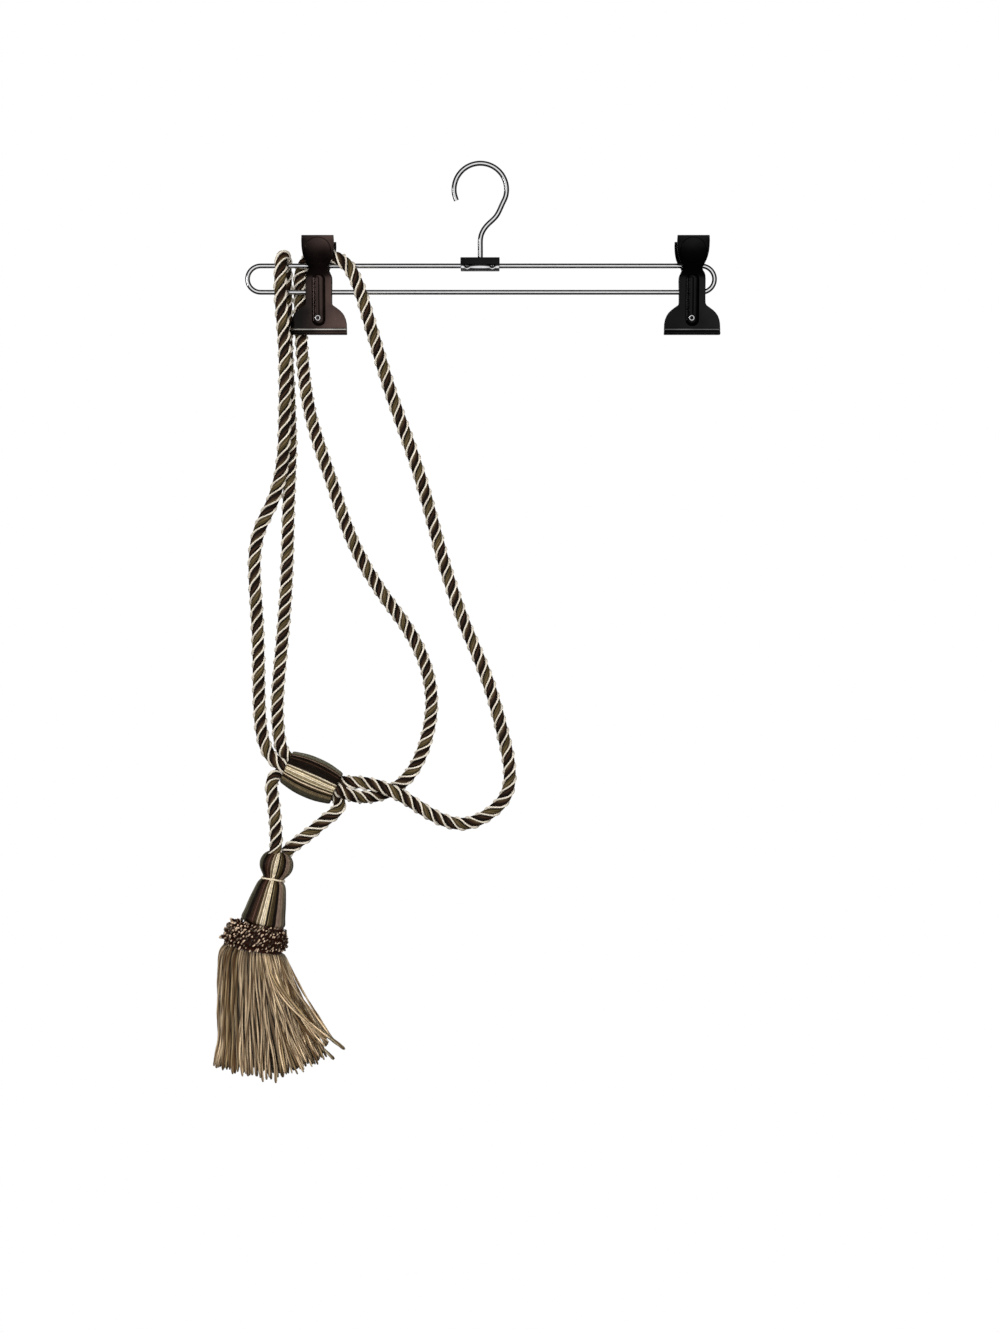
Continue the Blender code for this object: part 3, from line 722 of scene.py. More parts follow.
def yarn_covering(skin, profile, spacing, origin, axis, first, stripes, direction, closed, generator):
    """A turned shape covered lengthwise with yarn, one rib to a yarn, in the striped repeat.

    The profile gives the distance along the axis and the radius. The yarns start in the direction first.
    """
    rows = smooth_curve(profile, spacing)
    count = len(rows)
    per_yarn = len(COVERING_BULGE)
    points = YARNS * per_yarn
    around = even_angles(points)
    wander = np.stack([slow_wave(generator, count, 12) for _ in range(YARNS)], axis=1) * YARN_WANDER
    angles = around[None, :] + (wander * (2 * math.pi / YARNS)).repeat(per_yarn, axis=1)
    pitch = 2 * math.pi * rows[:, 1:] / YARNS
    bulge = np.tile(COVERING_BULGE, YARNS)[None, :] - COVERING_LEVEL
    radii = rows[:, 1:] + bulge * np.minimum(RIB_MOST, RIB_TO_PITCH * pitch)
    radii += (generator.uniform(-YARN_STEP, YARN_STEP, YARNS).repeat(per_yarn))[None, :]

    axis = np.array(axis)
    first = np.array(first)
    second = np.cross(axis, first)
    middle = np.array(origin)[None, :] + rows[:, :1] * axis
    across = first * np.cos(angles)[..., None] + second * np.sin(angles)[..., None]
    rings = middle[:, None, :] + across * radii[..., None]

    colours = np.empty((count, points, 3))
    for yarn in range(YARNS):
        number = (direction * yarn) % len(stripes)
        tone = generator.uniform(*YARN_TONES) * (1 + 0.10 * slow_wave(generator, count, 6))
        tone *= 1 + 0.16 * slow_wave(generator, count, 1)
        start = yarn * per_yarn
        shades = tone[:, None] * COVERING_SHADE[None, :]
        colours[:, start : start + per_yarn] = stripes[number] * shades[..., None]
    skin.tube(rings, colours, closed=closed)


# The barrel's outline from inside its left rim to its middle, and the head's from its top to the foot of its
# core: distance along the axis, radius.
BARREL_HALF = ((1.8, 10.75), (0.3, 11.0), (-0.6, 11.5), (0.1, 12.1), (2.5, 12.8), (6.0, 13.6), (12.0, 14.6))
BARREL_RADIUS = 14.9
HEAD_PROFILE = (
    (-9.2, 0.8), (-9.8, 3.0), (-9.3, 5.6), (-8.2, 7.9), (-6.2, 10.1), (-3.4, 11.6), (0.0, 12.2),
    (3.2, 11.7), (6.0, 10.3), (8.4, 8.5), (10.2, 7.6), (11.6, 7.9), (13.4, 9.4), (20.0, 11.7),
    (30.0, 13.9), (38.0, 15.4), (42.2, 16.0), (43.6, 14.8), (44.4, 12.4), (47.0, 11.3), (55.8, 11.2),
)


def make_barrel(look):
    length = (BARREL_RIGHT - BARREL_LEFT).length
    other_half = [(length - place, radius) for place, radius in reversed(BARREL_HALF)]
    profile = [*BARREL_HALF, (length / 2, BARREL_RADIUS), *other_half]
    along, up, _ = barrel_axis()
    skin = Skin()
    generator = np.random.default_rng(SEEDS["barrel"])
    yarn_covering(
        skin, profile, spacing=1.4, origin=BARREL_LEFT, axis=along, first=up, stripes=BARREL_STRIPES,
        direction=1, closed=True, generator=generator,
    )
    skin.piece("barrel_covering", look, "barrel_yarn", "barrel")


def tassel_axis(tilt):
    """Down the tassel, and across it to the left as seen from the front."""
    lean = math.radians(tilt)
    return Vector((-math.sin(lean), 0.0, -math.cos(lean))), Vector((-math.cos(lean), 0.0, math.sin(lean)))


def make_head(look):
    down, left = tassel_axis(TASSEL_TILT)
    skin = Skin()
    generator = np.random.default_rng(SEEDS["head"])
    yarn_covering(
        skin, HEAD_PROFILE, spacing=1.1, origin=TASSEL_CENTRE, axis=down, first=left, stripes=HEAD_STRIPES,
        direction=-1, closed=False, generator=generator,
    )
    skin.piece("head_covering", look, "head_yarn", "tassel_head")


NECK_TURNS = 2.5
NECK_STEPS = 60
NECK_LEVEL = 9.7
NECK_RADIUS = 8.25
THREAD_RADIUS = 0.42
THREAD_SIDES = 8
THREAD_STEP = 0.7

# Where the thread's end crosses its own turns, at the front.
NECK_CROSSING = (
    (-150.6, -8.3, -514.0), (-149.4, -9.3, -512.6), (-148.2, -9.5, -511.2), (-147.0, -9.3, -509.8),
    (-146.0, -8.3, -508.7),
)


def make_neck_thread(look):
    """Two and a half turns of thread bound round the neck, and its end laid across them."""
    down, left = tassel_axis(TASSEL_TILT)
    back = down.cross(left)
    points = []
    for step in range(NECK_STEPS + 1):
        share = step / NECK_STEPS
        angle = 2 * math.pi * NECK_TURNS * share
        wave = 0.5 * math.sin(2 * math.pi * share)
        level = NECK_LEVEL + 1.5 * share + wave + 1.2 * max(0.0, math.cos(angle))
        across = left * math.cos(angle) + back * math.sin(angle)
        points.append(tuple(TASSEL_CENTRE + down * level + across * (NECK_RADIUS + 0.35 * share)))
    skin = Skin()
    for route in (points, NECK_CROSSING):
        line = smooth_curve(route, THREAD_STEP)
        angles = np.broadcast_to(even_angles(THREAD_SIDES), (len(line), THREAD_SIDES))
        lobes = THREAD_RADIUS + 0.07 * np.cos(2 * angles + np.arange(len(line))[:, None] * 0.9)
        skin.tube(tube_rings(line, level_frames(line), angles, lobes), CREAM)
    skin.piece("neck_binding", look, "neck_thread", "neck_thread")


# ---------------------------------------------------------------- the ruff


# The ring's section: down, radius.
RUFF_OUTSIDE = (
    (-6.4, 16.8), (-6.6, 18.2), (-4.6, 19.6), (-1.0, 20.4), (2.4, 21.4), (5.4, 21.9), (7.4, 21.2),
    (7.8, 19.6),
)
RUFF_INSIDE = ((7.6, 15.2), (-1.0, 14.8), (-5.0, 15.4))
RUFF_SIDES = 72
LOOP_ROWS = 8
LOOPS_PER_ROW = 48
LOOP_RADIUS = 0.60
LOOP_SIDES = 5
LOOP_POINTS = 8
LOOP_HEIGHTS = (1.3, 2.7)
LOOP_WIDTHS = (0.6, 1.5)
LOOP_LEANS = (0.5, 1.4)
LOOP_CROWNS = (0.6, 0.9)
LOOP_TONES = (0.06, 0.22, 0.5, 0.8, 1.1)
LEFT_LOOPS_FROM = 0.55
LEFT_LOOPS_LONGER = 7.0
RIGHT_LOOPS_FINER = 0.38

# How much higher the ruff's lower edge is at the right than its tilt puts it.
RUFF_LIFT = 2.8


def ruff_axes():
    """Down the ruff and the skirt's root, across them to the left, and to the back."""
    down, left = (np.array(direction) for direction in tassel_axis(RUFF_TILT))
    return down, left, np.cross(down, left)


def turned_rings(centre, outline, sides):
    """A section of distances down and radii, turned about the ruff's axis."""
    down, left, back = ruff_axes()
    around = even_angles(sides)
    across = left * np.cos(around)[:, None] + back * np.sin(around)[:, None]
    outline = np.array(outline)
    return np.array(centre) + outline[:, None, :1] * down + across[None] * outline[:, None, 1:]


def make_ruff(look):
    """A heading ring, darkened as painted shade among the loops, with rows of small twisted loops that stand
    out of it.
    """
    generator = np.random.default_rng(SEEDS["ruff"])
    down, left, back = ruff_axes()
    centre = np.array(RUFF_CENTRE)
    skin = Skin()

    outline = np.array([*RUFF_OUTSIDE, *RUFF_INSIDE])
    lower = np.clip((outline[:, 0] + 6.0) / 14.0, 0.0, 1.0)
    rightness = np.clip(-np.cos(even_angles(RUFF_SIDES)), 0.0, 1.0)
    lifts = RUFF_LIFT * lower[:, None] * rightness[None]
    rings = turned_rings(centre, outline, RUFF_SIDES) - down * lifts[:, :, None]
    # The ring's colour is darkened to paint the shade among the loops.
    skin.tube(rings, RUFF_BROWN * 0.35, closed=True)

    outside = smooth_curve(RUFF_OUTSIDE, 0.2)
    slopes = unit(np.gradient(outside, axis=0))
    for row in range(LOOP_ROWS):
        place = int((len(outside) - 1) * (row + 0.35) / LOOP_ROWS)
        level, radius = outside[place]
        slope = slopes[place]
        for number in range(LOOPS_PER_ROW):
            stagger = 0.5 * (row % 2) + generator.uniform(-0.22, 0.22)
            angle = 2 * math.pi * (number + stagger) / LOOPS_PER_ROW
            outward = left * math.cos(angle) + back * math.sin(angle)
            aside = np.cross(down, outward)
            normal = outward * slope[0] - down * slope[1]
            lift = RUFF_LIFT * max(0.0, outward[0]) * row / LOOP_ROWS
            height = level - lift + generator.uniform(-0.7, 0.7)
            base = centre + down * height + outward * (radius - 0.5)
            add_loop(skin, base, normal, aside, down, generator)
    skin.piece("ruff_loops", look, "ruff_yarn", "ruff")


def add_loop(skin, base, normal, aside, down, generator):
    """One small loop of twisted yarn, pale at its crown as the yarn's second colour and a painted highlight,
    and darker below it as painted shade.
    """
    leftness = max(0.0, -normal[0] - LEFT_LOOPS_FROM)
    finer = 1.0 - RIGHT_LOOPS_FINER * max(0.0, normal[0])
    height = generator.uniform(*LOOP_HEIGHTS) * finer
    height += leftness * generator.uniform(0.0, LEFT_LOOPS_LONGER)
    width = generator.uniform(*LOOP_WIDTHS) * finer
    lean = generator.uniform(*LOOP_LEANS)
    spread = aside * math.cos(lean) + down * math.sin(lean)
    tip = normal * height + down * generator.uniform(-0.9, 0.9) + aside * generator.uniform(-0.6, 0.6)
    share = np.linspace(0.0, 1.0, LOOP_POINTS)[:, None]
    line = base + tip * np.sin(math.pi * share) ** 0.8 - spread * width * np.cos(math.pi * share)
    angles = np.broadcast_to(even_angles(LOOP_SIDES), (LOOP_POINTS, LOOP_SIDES))
    radii = np.full(angles.shape, LOOP_RADIUS * finer)
    # The crown is pale, partly the yarn's second colour and partly a painted highlight; the rest is darkened
    # as painted shade.
    crown = (np.sin(math.pi * share) > generator.choice(LOOP_CROWNS))[:, None]
    tone = generator.choice(LOOP_TONES)
    colours = np.where(crown, RUFF_BEIGE * tone, RUFF_BROWN * 0.6)
    skin.tube(tube_rings(line, level_frames(line), angles, radii), colours)


# ---------------------------------------------------------------- the skirt


# Rings of strands, from the outside in: how many, their share of the root radius, points round each strand,
# its size and its tone, which falls towards the inside as painted shade within the skirt.
SKIRT_RINGS = (
    (54, 1.0, 8, 0.94, 0.92),
    (54, 0.90, 8, 1.0, 0.68),
    (40, 0.74, 6, 1.2, 0.48),
    (26, 0.52, 6, 1.5, 0.42),
    (14, 0.28, 6, 1.7, 0.36),
)
# How much shorter the innermost strands are than the outermost.
SKIRT_HOLLOW = 8.0
STRAND_TWIST = 52.0
FLICK_FROM = 0.80
STRAND_STEP = 1.6
STRAND_LOBE = 1.16
STRAND_WAIST = 0.70

# The skirt's lower edge: height of the tips at x.
SKIRT_EDGE = (
    (-193.0, -646.5), (-181.0, -650.0), (-168.0, -653.5), (-152.0, -657.5), (-143.0, -657.8),
    (-133.0, -652.0), (-123.0, -647.5), (-116.0, -644.5), (-112.0, -637.0), (-108.0, -629.0),
)
# The tips' x at the skirt's left, how much their spacing grows to the right, and the front's rise.
TIP_LEFT = -186.8
TIP_SPREAD = 0.0118
FRONT_RISE = 4.0

# Where along a strand its bends are set, and the ranges that strands differ in.
STRAND_RUNS = (0.0, 0.04, 0.09, 0.18, 0.30, 0.42, 0.54, 0.66, 0.78, 0.89, 1.0)
WAVE_COUNTS = (0.7, 1.8)
SWAYS = (0.4, 1.5)
TWIST_SHARES = (0.7, 1.5)
STRAND_TONES = (0.64, 1.26)
OTHER_YARN_TONES = (0.55, 0.95)
BROWN_SHARE = 0.12
OLIVE_SHARE = 0.18
RING_SPREAD = 1.28
STRAY_LIMIT = 1.4
LEFT_FLICK_FROM = 0.6
LEFT_FLICKS = (4.0, 13.0)

# Where the fan opens: the tips' x, whose strands are darkened low down as painted shadow of the skirt's
# inside.
# How light a strand is at shares of its length, there and elsewhere; the dark root is painted shade under
# the ruff.
SKIRT_OPENING = (-135.0, -130.0)
OPENING_SHADOW_ALONG = ((0.0, 0.06, 0.68, 0.82, 1.0), (0.45, 1.0, 0.95, 0.34, 0.26))
STRAND_SHADE_ALONG = ((0.0, 0.06, 0.60, 0.93, 1.0), (0.45, 0.96, 1.05, 1.22, 0.65))

# More strands in the fan's right part, where the rings' strands spread thin: how many, their root angles in
# degrees, and their tips' x.
FAN_STRANDS = 46
FAN_ANGLES = (-80.0, 30.0)
FAN_TIPS = (-137.0, -106.5)
FAN_SPREADS = (1.3, 2.0)
FAN_RISE = 9.0
FAN_SIZE = 0.9
FAN_TONE = 0.98
FAN_SIDES = 8

LOOSE_STRANDS = (
    # root angle in degrees, tip x before its flick, y, z
    (-4.0, -104.4, -4.0, -635.6),
    (-10.0, -106.6, -2.0, -634.2),
    (-16.0, -111.0, -9.0, -642.0),
)
LOOSE_FLICK = 6.8
LOOSE_SPREAD = 1.6
LOOSE_SIZE = 1.2


def skirt_tip(out):
    """Where a strand ends: fanned out to the right, with the skirt's lower edge as a shallow bowl."""
    across = (out[0] + 1) * (SKIRT_ROOT_RADIUS + SKIRT_BULGE)
    x = TIP_LEFT + across + TIP_SPREAD * across**2
    nearer = FRONT_RISE * max(0.0, -out[1])
    return np.array((x, out[1] * SKIRT_HALF_DEPTH, np.interp(x, *zip(*SKIRT_EDGE)) + nearer))


def strand_line(out, tip, spread, flick, generator):
    """A strand out of its root under the ruff, over the bulge and down to its tip, with small waves.

    It heads straight for its tip where spread is 1, and swings out to it late where spread is more. Its end
    turns aside by the flick, in millimetres along x.
    """
    down, left, _ = ruff_axes()
    backward = np.array((0.0, out[1], 0.0))
    root = np.array(SKIRT_ROOT) - left * out[0] * SKIRT_ROOT_RADIUS + backward * SKIRT_ROOT_RADIUS
    root = root - down
    outward = np.array((*out, 0.0))
    aside = np.array((-out[1], out[0], 0.0))
    waves = generator.uniform(*WAVE_COUNTS)
    phase = generator.uniform(0.0, 2 * math.pi)
    sway = generator.uniform(*SWAYS)
    points = []
    for run in STRAND_RUNS:
        bulge = (SKIRT_BULGE - 1.6 * out[0]) * min(1.0, (run / 0.12) ** 0.6) * (1 - run) ** 0.7
        point = root + (tip - root) * run + outward * bulge
        turned = flick * max(0.0, run - FLICK_FROM) / (1 - FLICK_FROM)
        point[0] -= (tip[0] - root[0]) * (run - run**spread) - turned
        ripple = math.sin(2 * math.pi * waves * run + phase) - math.sin(phase) * (1 - run)
        point += (aside + 0.4 * outward) * (sway * min(1.0, 2.2 * run) * ripple)
        points.append(point)
    return smooth_curve(points, STRAND_STEP)


def add_strand(skin, line, sides, size, yarns, shade_along, generator):
    """Two yarns laid together: two lobes that turn slowly along the strand, with painted shade in the groove
    between them, and a frayed dark tip.
    """
    count = len(line)
    around = even_angles(sides)
    start = generator.uniform(0.0, 2 * math.pi)
    twist = STRAND_TWIST * generator.uniform(*TWIST_SHARES)
    angles = around[None, :] + (start + 2 * math.pi * np.arange(count) * STRAND_STEP / twist)[:, None]
    lobes = np.cos(around) ** 2
    radius = (STRAND_WAIST + (STRAND_LOBE - STRAND_WAIST) * lobes) * size
    radii = np.broadcast_to(radius, (count, sides)).copy()
    radii *= 1 + 0.08 * slow_wave(generator, count, 4)[:, None]
    radii[-2:] *= np.array([1.0, 0.55])[:, None]
    tone = 1 + 0.14 * slow_wave(generator, count, 6)
    share = np.arange(count) / (count - 1)
    tone *= np.interp(share, *shade_along)
    one, other = yarns
    section = np.where((np.cos(around) > 0)[:, None], one, other)
    # Away from the two lobes the colour goes to the skirt's shade colour: painted shade where the yarns
    # meet.
    section = SKIRT_SHADE + (section - SKIRT_SHADE) * lobes[:, None]
    skin.tube(tube_rings(line, level_frames(line), angles, radii), section[None] * tone[:, None, None])


def skirt_yarns(tone, generator):
    """The colours of a strand's two yarns."""
    chance = generator.uniform()
    if chance < BROWN_SHARE:
        base = SKIRT_BROWN
    elif chance < BROWN_SHARE + OLIVE_SHARE:
        base = SKIRT_OLIVE
    else:
        base = SKIRT_TAN
    base = base * tone * generator.uniform(*STRAND_TONES)
    return base, base * generator.uniform(*OTHER_YARN_TONES)


# The dark heading that the strands are sewn to: down and radius of its section.
SKIRT_HEADING = ((-5.0, 15.0), (-5.0, 19.8), (1.6, 20.2), (1.6, 15.0))
HEADING_SIDES = 64


def add_skirt_rings(skin, generator):
    """The rings of strands, from the outermost to the innermost."""
    for strands, share, sides, size, tone in SKIRT_RINGS:
        for place in range(strands):
            angle = 2 * math.pi * (place + generator.uniform(-0.3, 0.3)) / strands
            out = np.array((math.cos(angle), math.sin(angle))) * share * generator.uniform(0.96, 1.03)
            tip = skirt_tip(out)
            tip[2] += SKIRT_HOLLOW * (1.0 - share)
            stray = np.clip(generator.normal(0.0, 1.0, 3), -STRAY_LIMIT, STRAY_LIMIT)
            tip += stray * np.array((1.2 + 0.6 * (1 + out[0]), 1.8, 1.5))
            flick = -max(0.0, -out[0] - LEFT_FLICK_FROM) * generator.uniform(*LEFT_FLICKS)
            line = strand_line(out, tip, RING_SPREAD, flick, generator)
            opening = SKIRT_OPENING[0] < tip[0] < SKIRT_OPENING[1]
            shade_along = OPENING_SHADOW_ALONG if opening else STRAND_SHADE_ALONG
            add_strand(skin, line, sides, size, skirt_yarns(tone, generator), shade_along, generator)


def add_fan_strands(skin, generator):
    """The dense spray in the fan's right part, and the loose strands that stick out of it."""
    for _ in range(FAN_STRANDS):
        angle = math.radians(generator.uniform(*FAN_ANGLES))
        out = np.array((math.cos(angle), math.sin(angle))) * generator.uniform(0.80, 1.0)
        tip = skirt_tip(out)
        tip[0] = generator.uniform(*FAN_TIPS)
        tip[2] = np.interp(tip[0], *zip(*SKIRT_EDGE)) + generator.uniform(0.0, FAN_RISE)
        line = strand_line(out, tip, generator.uniform(*FAN_SPREADS), 0.0, generator)
        yarns = skirt_yarns(FAN_TONE, generator)
        add_strand(skin, line, FAN_SIDES, FAN_SIZE, yarns, STRAND_SHADE_ALONG, generator)
    for degrees, *tip in LOOSE_STRANDS:
        angle = math.radians(degrees)
        out = np.array((math.cos(angle), math.sin(angle)))
        line = strand_line(out, np.array(tip), LOOSE_SPREAD, LOOSE_FLICK, generator)
        yarns = (SKIRT_LOOSE, SKIRT_LOOSE * 0.7)
        add_strand(skin, line, FAN_SIDES, LOOSE_SIZE, yarns, STRAND_SHADE_ALONG, generator)


def make_skirt(look):
    """The dark heading and all the strands that hang from it."""
    generator = np.random.default_rng(SEEDS["skirt"])
    skin = Skin()
    heading = turned_rings(SKIRT_ROOT, SKIRT_HEADING, HEADING_SIDES)
    skin.tube(heading, RUFF_BROWN * 0.5, closed=True)
    add_skirt_rings(skin, generator)
    add_fan_strands(skin, generator)
    skin.piece("skirt_strands", look, "skirt_yarn", "skirt")


# ---------------------------------------------------------------- modelling with operators


def metres(*place):
    """Millimetres in Blender's metres."""
    return tuple(measure * MM for measure in place)


def select_only(*pieces):
    """Selects just these pieces, with the first of them active."""
    bpy.ops.object.select_all(action="DESELECT")
    for piece in pieces:
        piece.select_set(True)
    bpy.context.view_layer.objects.active = pieces[0]


def start_primitive(add, name, stretch=(1.0, 1.0, 1.0), **settings):
    """Adds a primitive with nothing else selected, and gives it its name and its size along its own axes."""
    bpy.ops.object.select_all(action="DESELECT")
    add(**settings)
    made = bpy.context.active_object
    made.scale = stretch
    made.name = name
    made.data.name = name
    return made


def apply_place(piece):
    select_only(piece)
    bpy.ops.object.transform_apply(location=True, rotation=True, scale=True)


def apply_modifier(piece, kind, **settings):
    bpy.context.view_layer.objects.active = piece
    modifier = piece.modifiers.new(kind.lower(), kind)
    for setting, value in settings.items():
        setattr(modifier, setting, value)
    bpy.ops.object.modifier_apply(modifier=modifier.name)


def round_edges(piece, width, segments=3, sharp=50.0):
    """Rounds the edges that bend by more than the sharp angle. The width is in millimetres."""
    apply_modifier(
        piece, "BEVEL", width=width * MM, segments=segments, limit_method="ANGLE",
        angle_limit=math.radians(sharp),
    )


def join(name, pieces):
    """Joins finished pieces into the first of them."""
    select_only(*pieces)
    bpy.ops.object.join()
    pieces[0].name = name
    pieces[0].data.name = name
    return pieces[0]


def smooth_by_angle(piece, degrees):
    select_only(piece)
    bpy.ops.object.shade_smooth_by_angle(angle=math.radians(degrees))


def bent_wire(name, points, radius, closed=False, resolution=5):
    """Round wire bent along points in millimetres: a curve with a round bevel, turned into a mesh."""
    curve = bpy.data.curves.new(name, "CURVE")
    curve.dimensions = "3D"
    curve.bevel_depth = radius * MM
    curve.bevel_resolution = resolution
    curve.use_fill_caps = not closed
    spline = curve.splines.new("POLY")
    spline.points.add(len(points) - 1)
    for target, point in zip(spline.points, points):
        target.co = (*(Vector(point) * MM), 1.0)
    spline.use_cyclic_u = closed
    spline.use_smooth = True
    made = bpy.data.objects.new(name, curve)
    bpy.context.collection.objects.link(made)
    select_only(made)
    bpy.ops.object.convert(target="MESH")
    return bpy.context.active_object


# ---------------------------------------------------------------- the hanger


END_STEPS = 24
HOOK_ARC_STEPS = 16
HOOK_STEP = 1.2


def make_hanger(look):
    """The long loop of plated wire."""
    middle = (UPPER_WIRE_Z + LOWER_WIRE_Z) / 2
    bend = (UPPER_WIRE_Z - LOWER_WIRE_Z) / 2
    points = []
    ends = ((HANGER_RIGHT - bend - WIRE_RADIUS, 90.0), (HANGER_LEFT + bend + WIRE_RADIUS, -90.0))
    for centre, start in ends:
        for step in range(END_STEPS + 1):
            angle = math.radians(start - 180.0 * step / END_STEPS)
            points.append((centre + bend * math.cos(angle), 0.0, middle + bend * math.sin(angle)))
    wire = bent_wire("hanger_wire", points, WIRE_RADIUS, closed=True)
    smooth_by_angle(wire, 60)
    settle(wire, look, "chrome_wire", "hanger_frame")


def make_hook(look):
    """The hook: a stem that rises from the collar and sweeps over the rail's seat to its tip."""
    bend = HOOK_INNER_RADIUS + HOOK_WIRE_RADIUS
    start, end = HOOK_ARC_ANGLES
    arc = []
    for step in range(HOOK_ARC_STEPS + 1):
        angle = math.radians(start + (end - start) * step / HOOK_ARC_STEPS)
        arc.append((bend * math.cos(angle), 0.0, -HOOK_INNER_RADIUS + bend * math.sin(angle)))
    line = smooth_curve([*HOOK_STEM, *arc], HOOK_STEP)
    hook = bent_wire("hook_wire", line, HOOK_WIRE_RADIUS)
    round_edges(hook, 0.5)
    smooth_by_angle(hook, 40)
    settle(hook, look, "chrome_wire", "hook")


def extrude_ring(step, share, centre):
    """Extrudes what is selected by a step, then scales it about a centre, both in millimetres."""
    bpy.ops.mesh.extrude_region_move(TRANSFORM_OT_translate={"value": metres(*step)})
    bpy.ops.transform.resize(value=share, center_override=metres(*centre))


def make_collar(look):
    """The black block with its two teeth."""
    height = COLLAR_SIZE[2]
    parts = [
        start_primitive(
            bpy.ops.mesh.primitive_cube_add, "hook_collar_block", size=1.0, stretch=metres(*COLLAR_SIZE),
            location=metres(COLLAR_X, 0.0, COLLAR_TOP_Z - height / 2),
        )
    ]
    for x in COLLAR_TEETH:
        tooth = start_primitive(
            bpy.ops.mesh.primitive_cylinder_add, "tooth", vertices=3, radius=TOOTH_RADIUS * MM,
            depth=TOOTH_LENGTH * MM, location=metres(x, 0.0, COLLAR_TOP_Z - height + TOOTH_RISE),
            rotation=(math.radians(90.0), math.radians(180.0), 0.0),
        )
        parts.append(tooth)
    for part in parts:
        apply_place(part)
        round_edges(part, 0.4, sharp=30.0)
    block = join("hook_collar_block", parts)
    smooth_by_angle(block, 35)
    settle(block, look, "dark_metal", "hook_collar")


def make_sleeve(look):
    """The plated sleeve round the upper wire, which the collar's teeth are pressed into."""
    sleeve = start_primitive(
        bpy.ops.mesh.primitive_circle_add, "hook_collar_sleeve", vertices=32, radius=SLEEVE_RADIUS * MM,
        fill_type="NGON", location=metres(SLEEVE_START, 0.0, SLEEVE_Z),
        rotation=(0.0, math.radians(90.0), 0.0),
    )
    apply_place(sleeve)
    bpy.ops.object.mode_set(mode="EDIT")
    bpy.ops.mesh.select_all(action="SELECT")
    x = SLEEVE_START
    for to_x, share in SLEEVE_ROWS:
        extrude_ring((to_x - x, 0.0, 0.0), (1.0, share, share), (to_x, 0.0, SLEEVE_Z - SLEEVE_RADIUS))
        x = to_x
    bpy.ops.mesh.select_all(action="SELECT")
    bpy.ops.mesh.normals_make_consistent(inside=False)
    bpy.ops.object.mode_set(mode="OBJECT")
    round_edges(sleeve, 0.35, sharp=60.0)
    smooth_by_angle(sleeve, 50)
    settle(sleeve, look, "chrome_wire")


# ---------------------------------------------------------------- the clips


def pressed_plate(name, centre_x, side):
    """A clip's plate: a strip extruded row by row from the lever's top to the jaw, then thickened."""
    top_z, top_y, top_half = PLATE_ROWS[0]
    next_z, next_y, next_half = PLATE_ROWS[1]
    plate = start_primitive(
        bpy.ops.mesh.primitive_grid_add, name, x_subdivisions=PLATE_COLUMNS, y_subdivisions=1, size=1.0,
        location=metres(centre_x, side * top_y, (top_z + next_z) / 2),
        rotation=(math.radians(90.0), 0.0, 0.0), stretch=(*metres(2 * top_half, top_z - next_z), 1.0),
    )
    apply_place(plate)
    middle = (top_z + next_z) / 2 * MM
    mesh = plate.data
    for group in (mesh.vertices, mesh.edges, mesh.polygons):
        for part in group:
            part.select = False
    for vertex in mesh.vertices:
        vertex.select = vertex.co.z < middle
    for edge in mesh.edges:
        edge.select = all(mesh.vertices[corner].select for corner in edge.vertices)
    bpy.ops.object.mode_set(mode="EDIT")
    bpy.ops.mesh.select_mode(type="EDGE")
    bpy.ops.transform.translate(value=(0.0, side * (next_y - top_y) * MM, 0.0))
    centre = (centre_x, 0.0, 0.0)
    bpy.ops.transform.resize(value=(next_half / top_half, 1.0, 1.0), center_override=metres(*centre))
    for (z, y, half), (to_z, to_y, to_half) in zip(PLATE_ROWS[1:], PLATE_ROWS[2:]):
        extrude_ring((0.0, side * (to_y - y), to_z - z), (to_half / half, 1.0, 1.0), centre)
    bpy.ops.mesh.select_all(action="SELECT")
    bpy.ops.mesh.normals_make_consistent(inside=False)
    bpy.ops.object.mode_set(mode="OBJECT")
    apply_modifier(plate, "SOLIDIFY", thickness=PLATE_THICKNESS * MM, offset=0.0)
    round_edges(plate, 0.3)
    return plate


def pressed_rib(name, centre_x, side, half_width, height, top, bottom):
    """A long rounded rib that stands out of a plate, leaning with it."""
    (top_z, top_y), (bottom_z, bottom_y) = top, bottom
    run = math.hypot(top_z - bottom_z, top_y - bottom_y)
    lean = math.atan2(side * (top_y - bottom_y), top_z - bottom_z)
    rib = start_primitive(
        bpy.ops.mesh.primitive_cylinder_add, name, vertices=32, radius=half_width * MM, depth=run * MM,
    )
    round_edges(rib, half_width * 0.92, segments=8)
    rib.scale = (1.0, height / half_width, 1.0)
    rib.rotation_euler = (-lean, 0.0, 0.0)
    rib.location = metres(centre_x, side * (top_y + bottom_y) / 2, (top_z + bottom_z) / 2)
    apply_place(rib)
    return rib


def lever_pad(name, centre_x, side):
    """The round pad pressed out of a lever's face."""
    pad = start_primitive(
        bpy.ops.mesh.primitive_cylinder_add, name, vertices=40, radius=PAD_RADIUS * MM,
        depth=PAD_DEPTH * MM, location=metres(centre_x, side * PAD_Y, PAD_Z),
        rotation=(math.radians(90.0 - side * PAD_LEAN), 0.0, 0.0),
    )
    apply_place(pad)
    round_edges(pad, 0.6, segments=4)
    return pad


def clip_lip(name, centre_x, side, z, half_width):
    """One bead of the jaw's folded lip."""
    bead = start_primitive(
        bpy.ops.mesh.primitive_cylinder_add, name, vertices=24, radius=BEAD_RADIUS * MM,
        depth=2 * half_width * MM, location=metres(centre_x, side * LIP_Y, z),
        rotation=(0.0, math.radians(90.0), 0.0),
    )
    apply_place(bead)
    round_edges(bead, 0.5)
    return bead


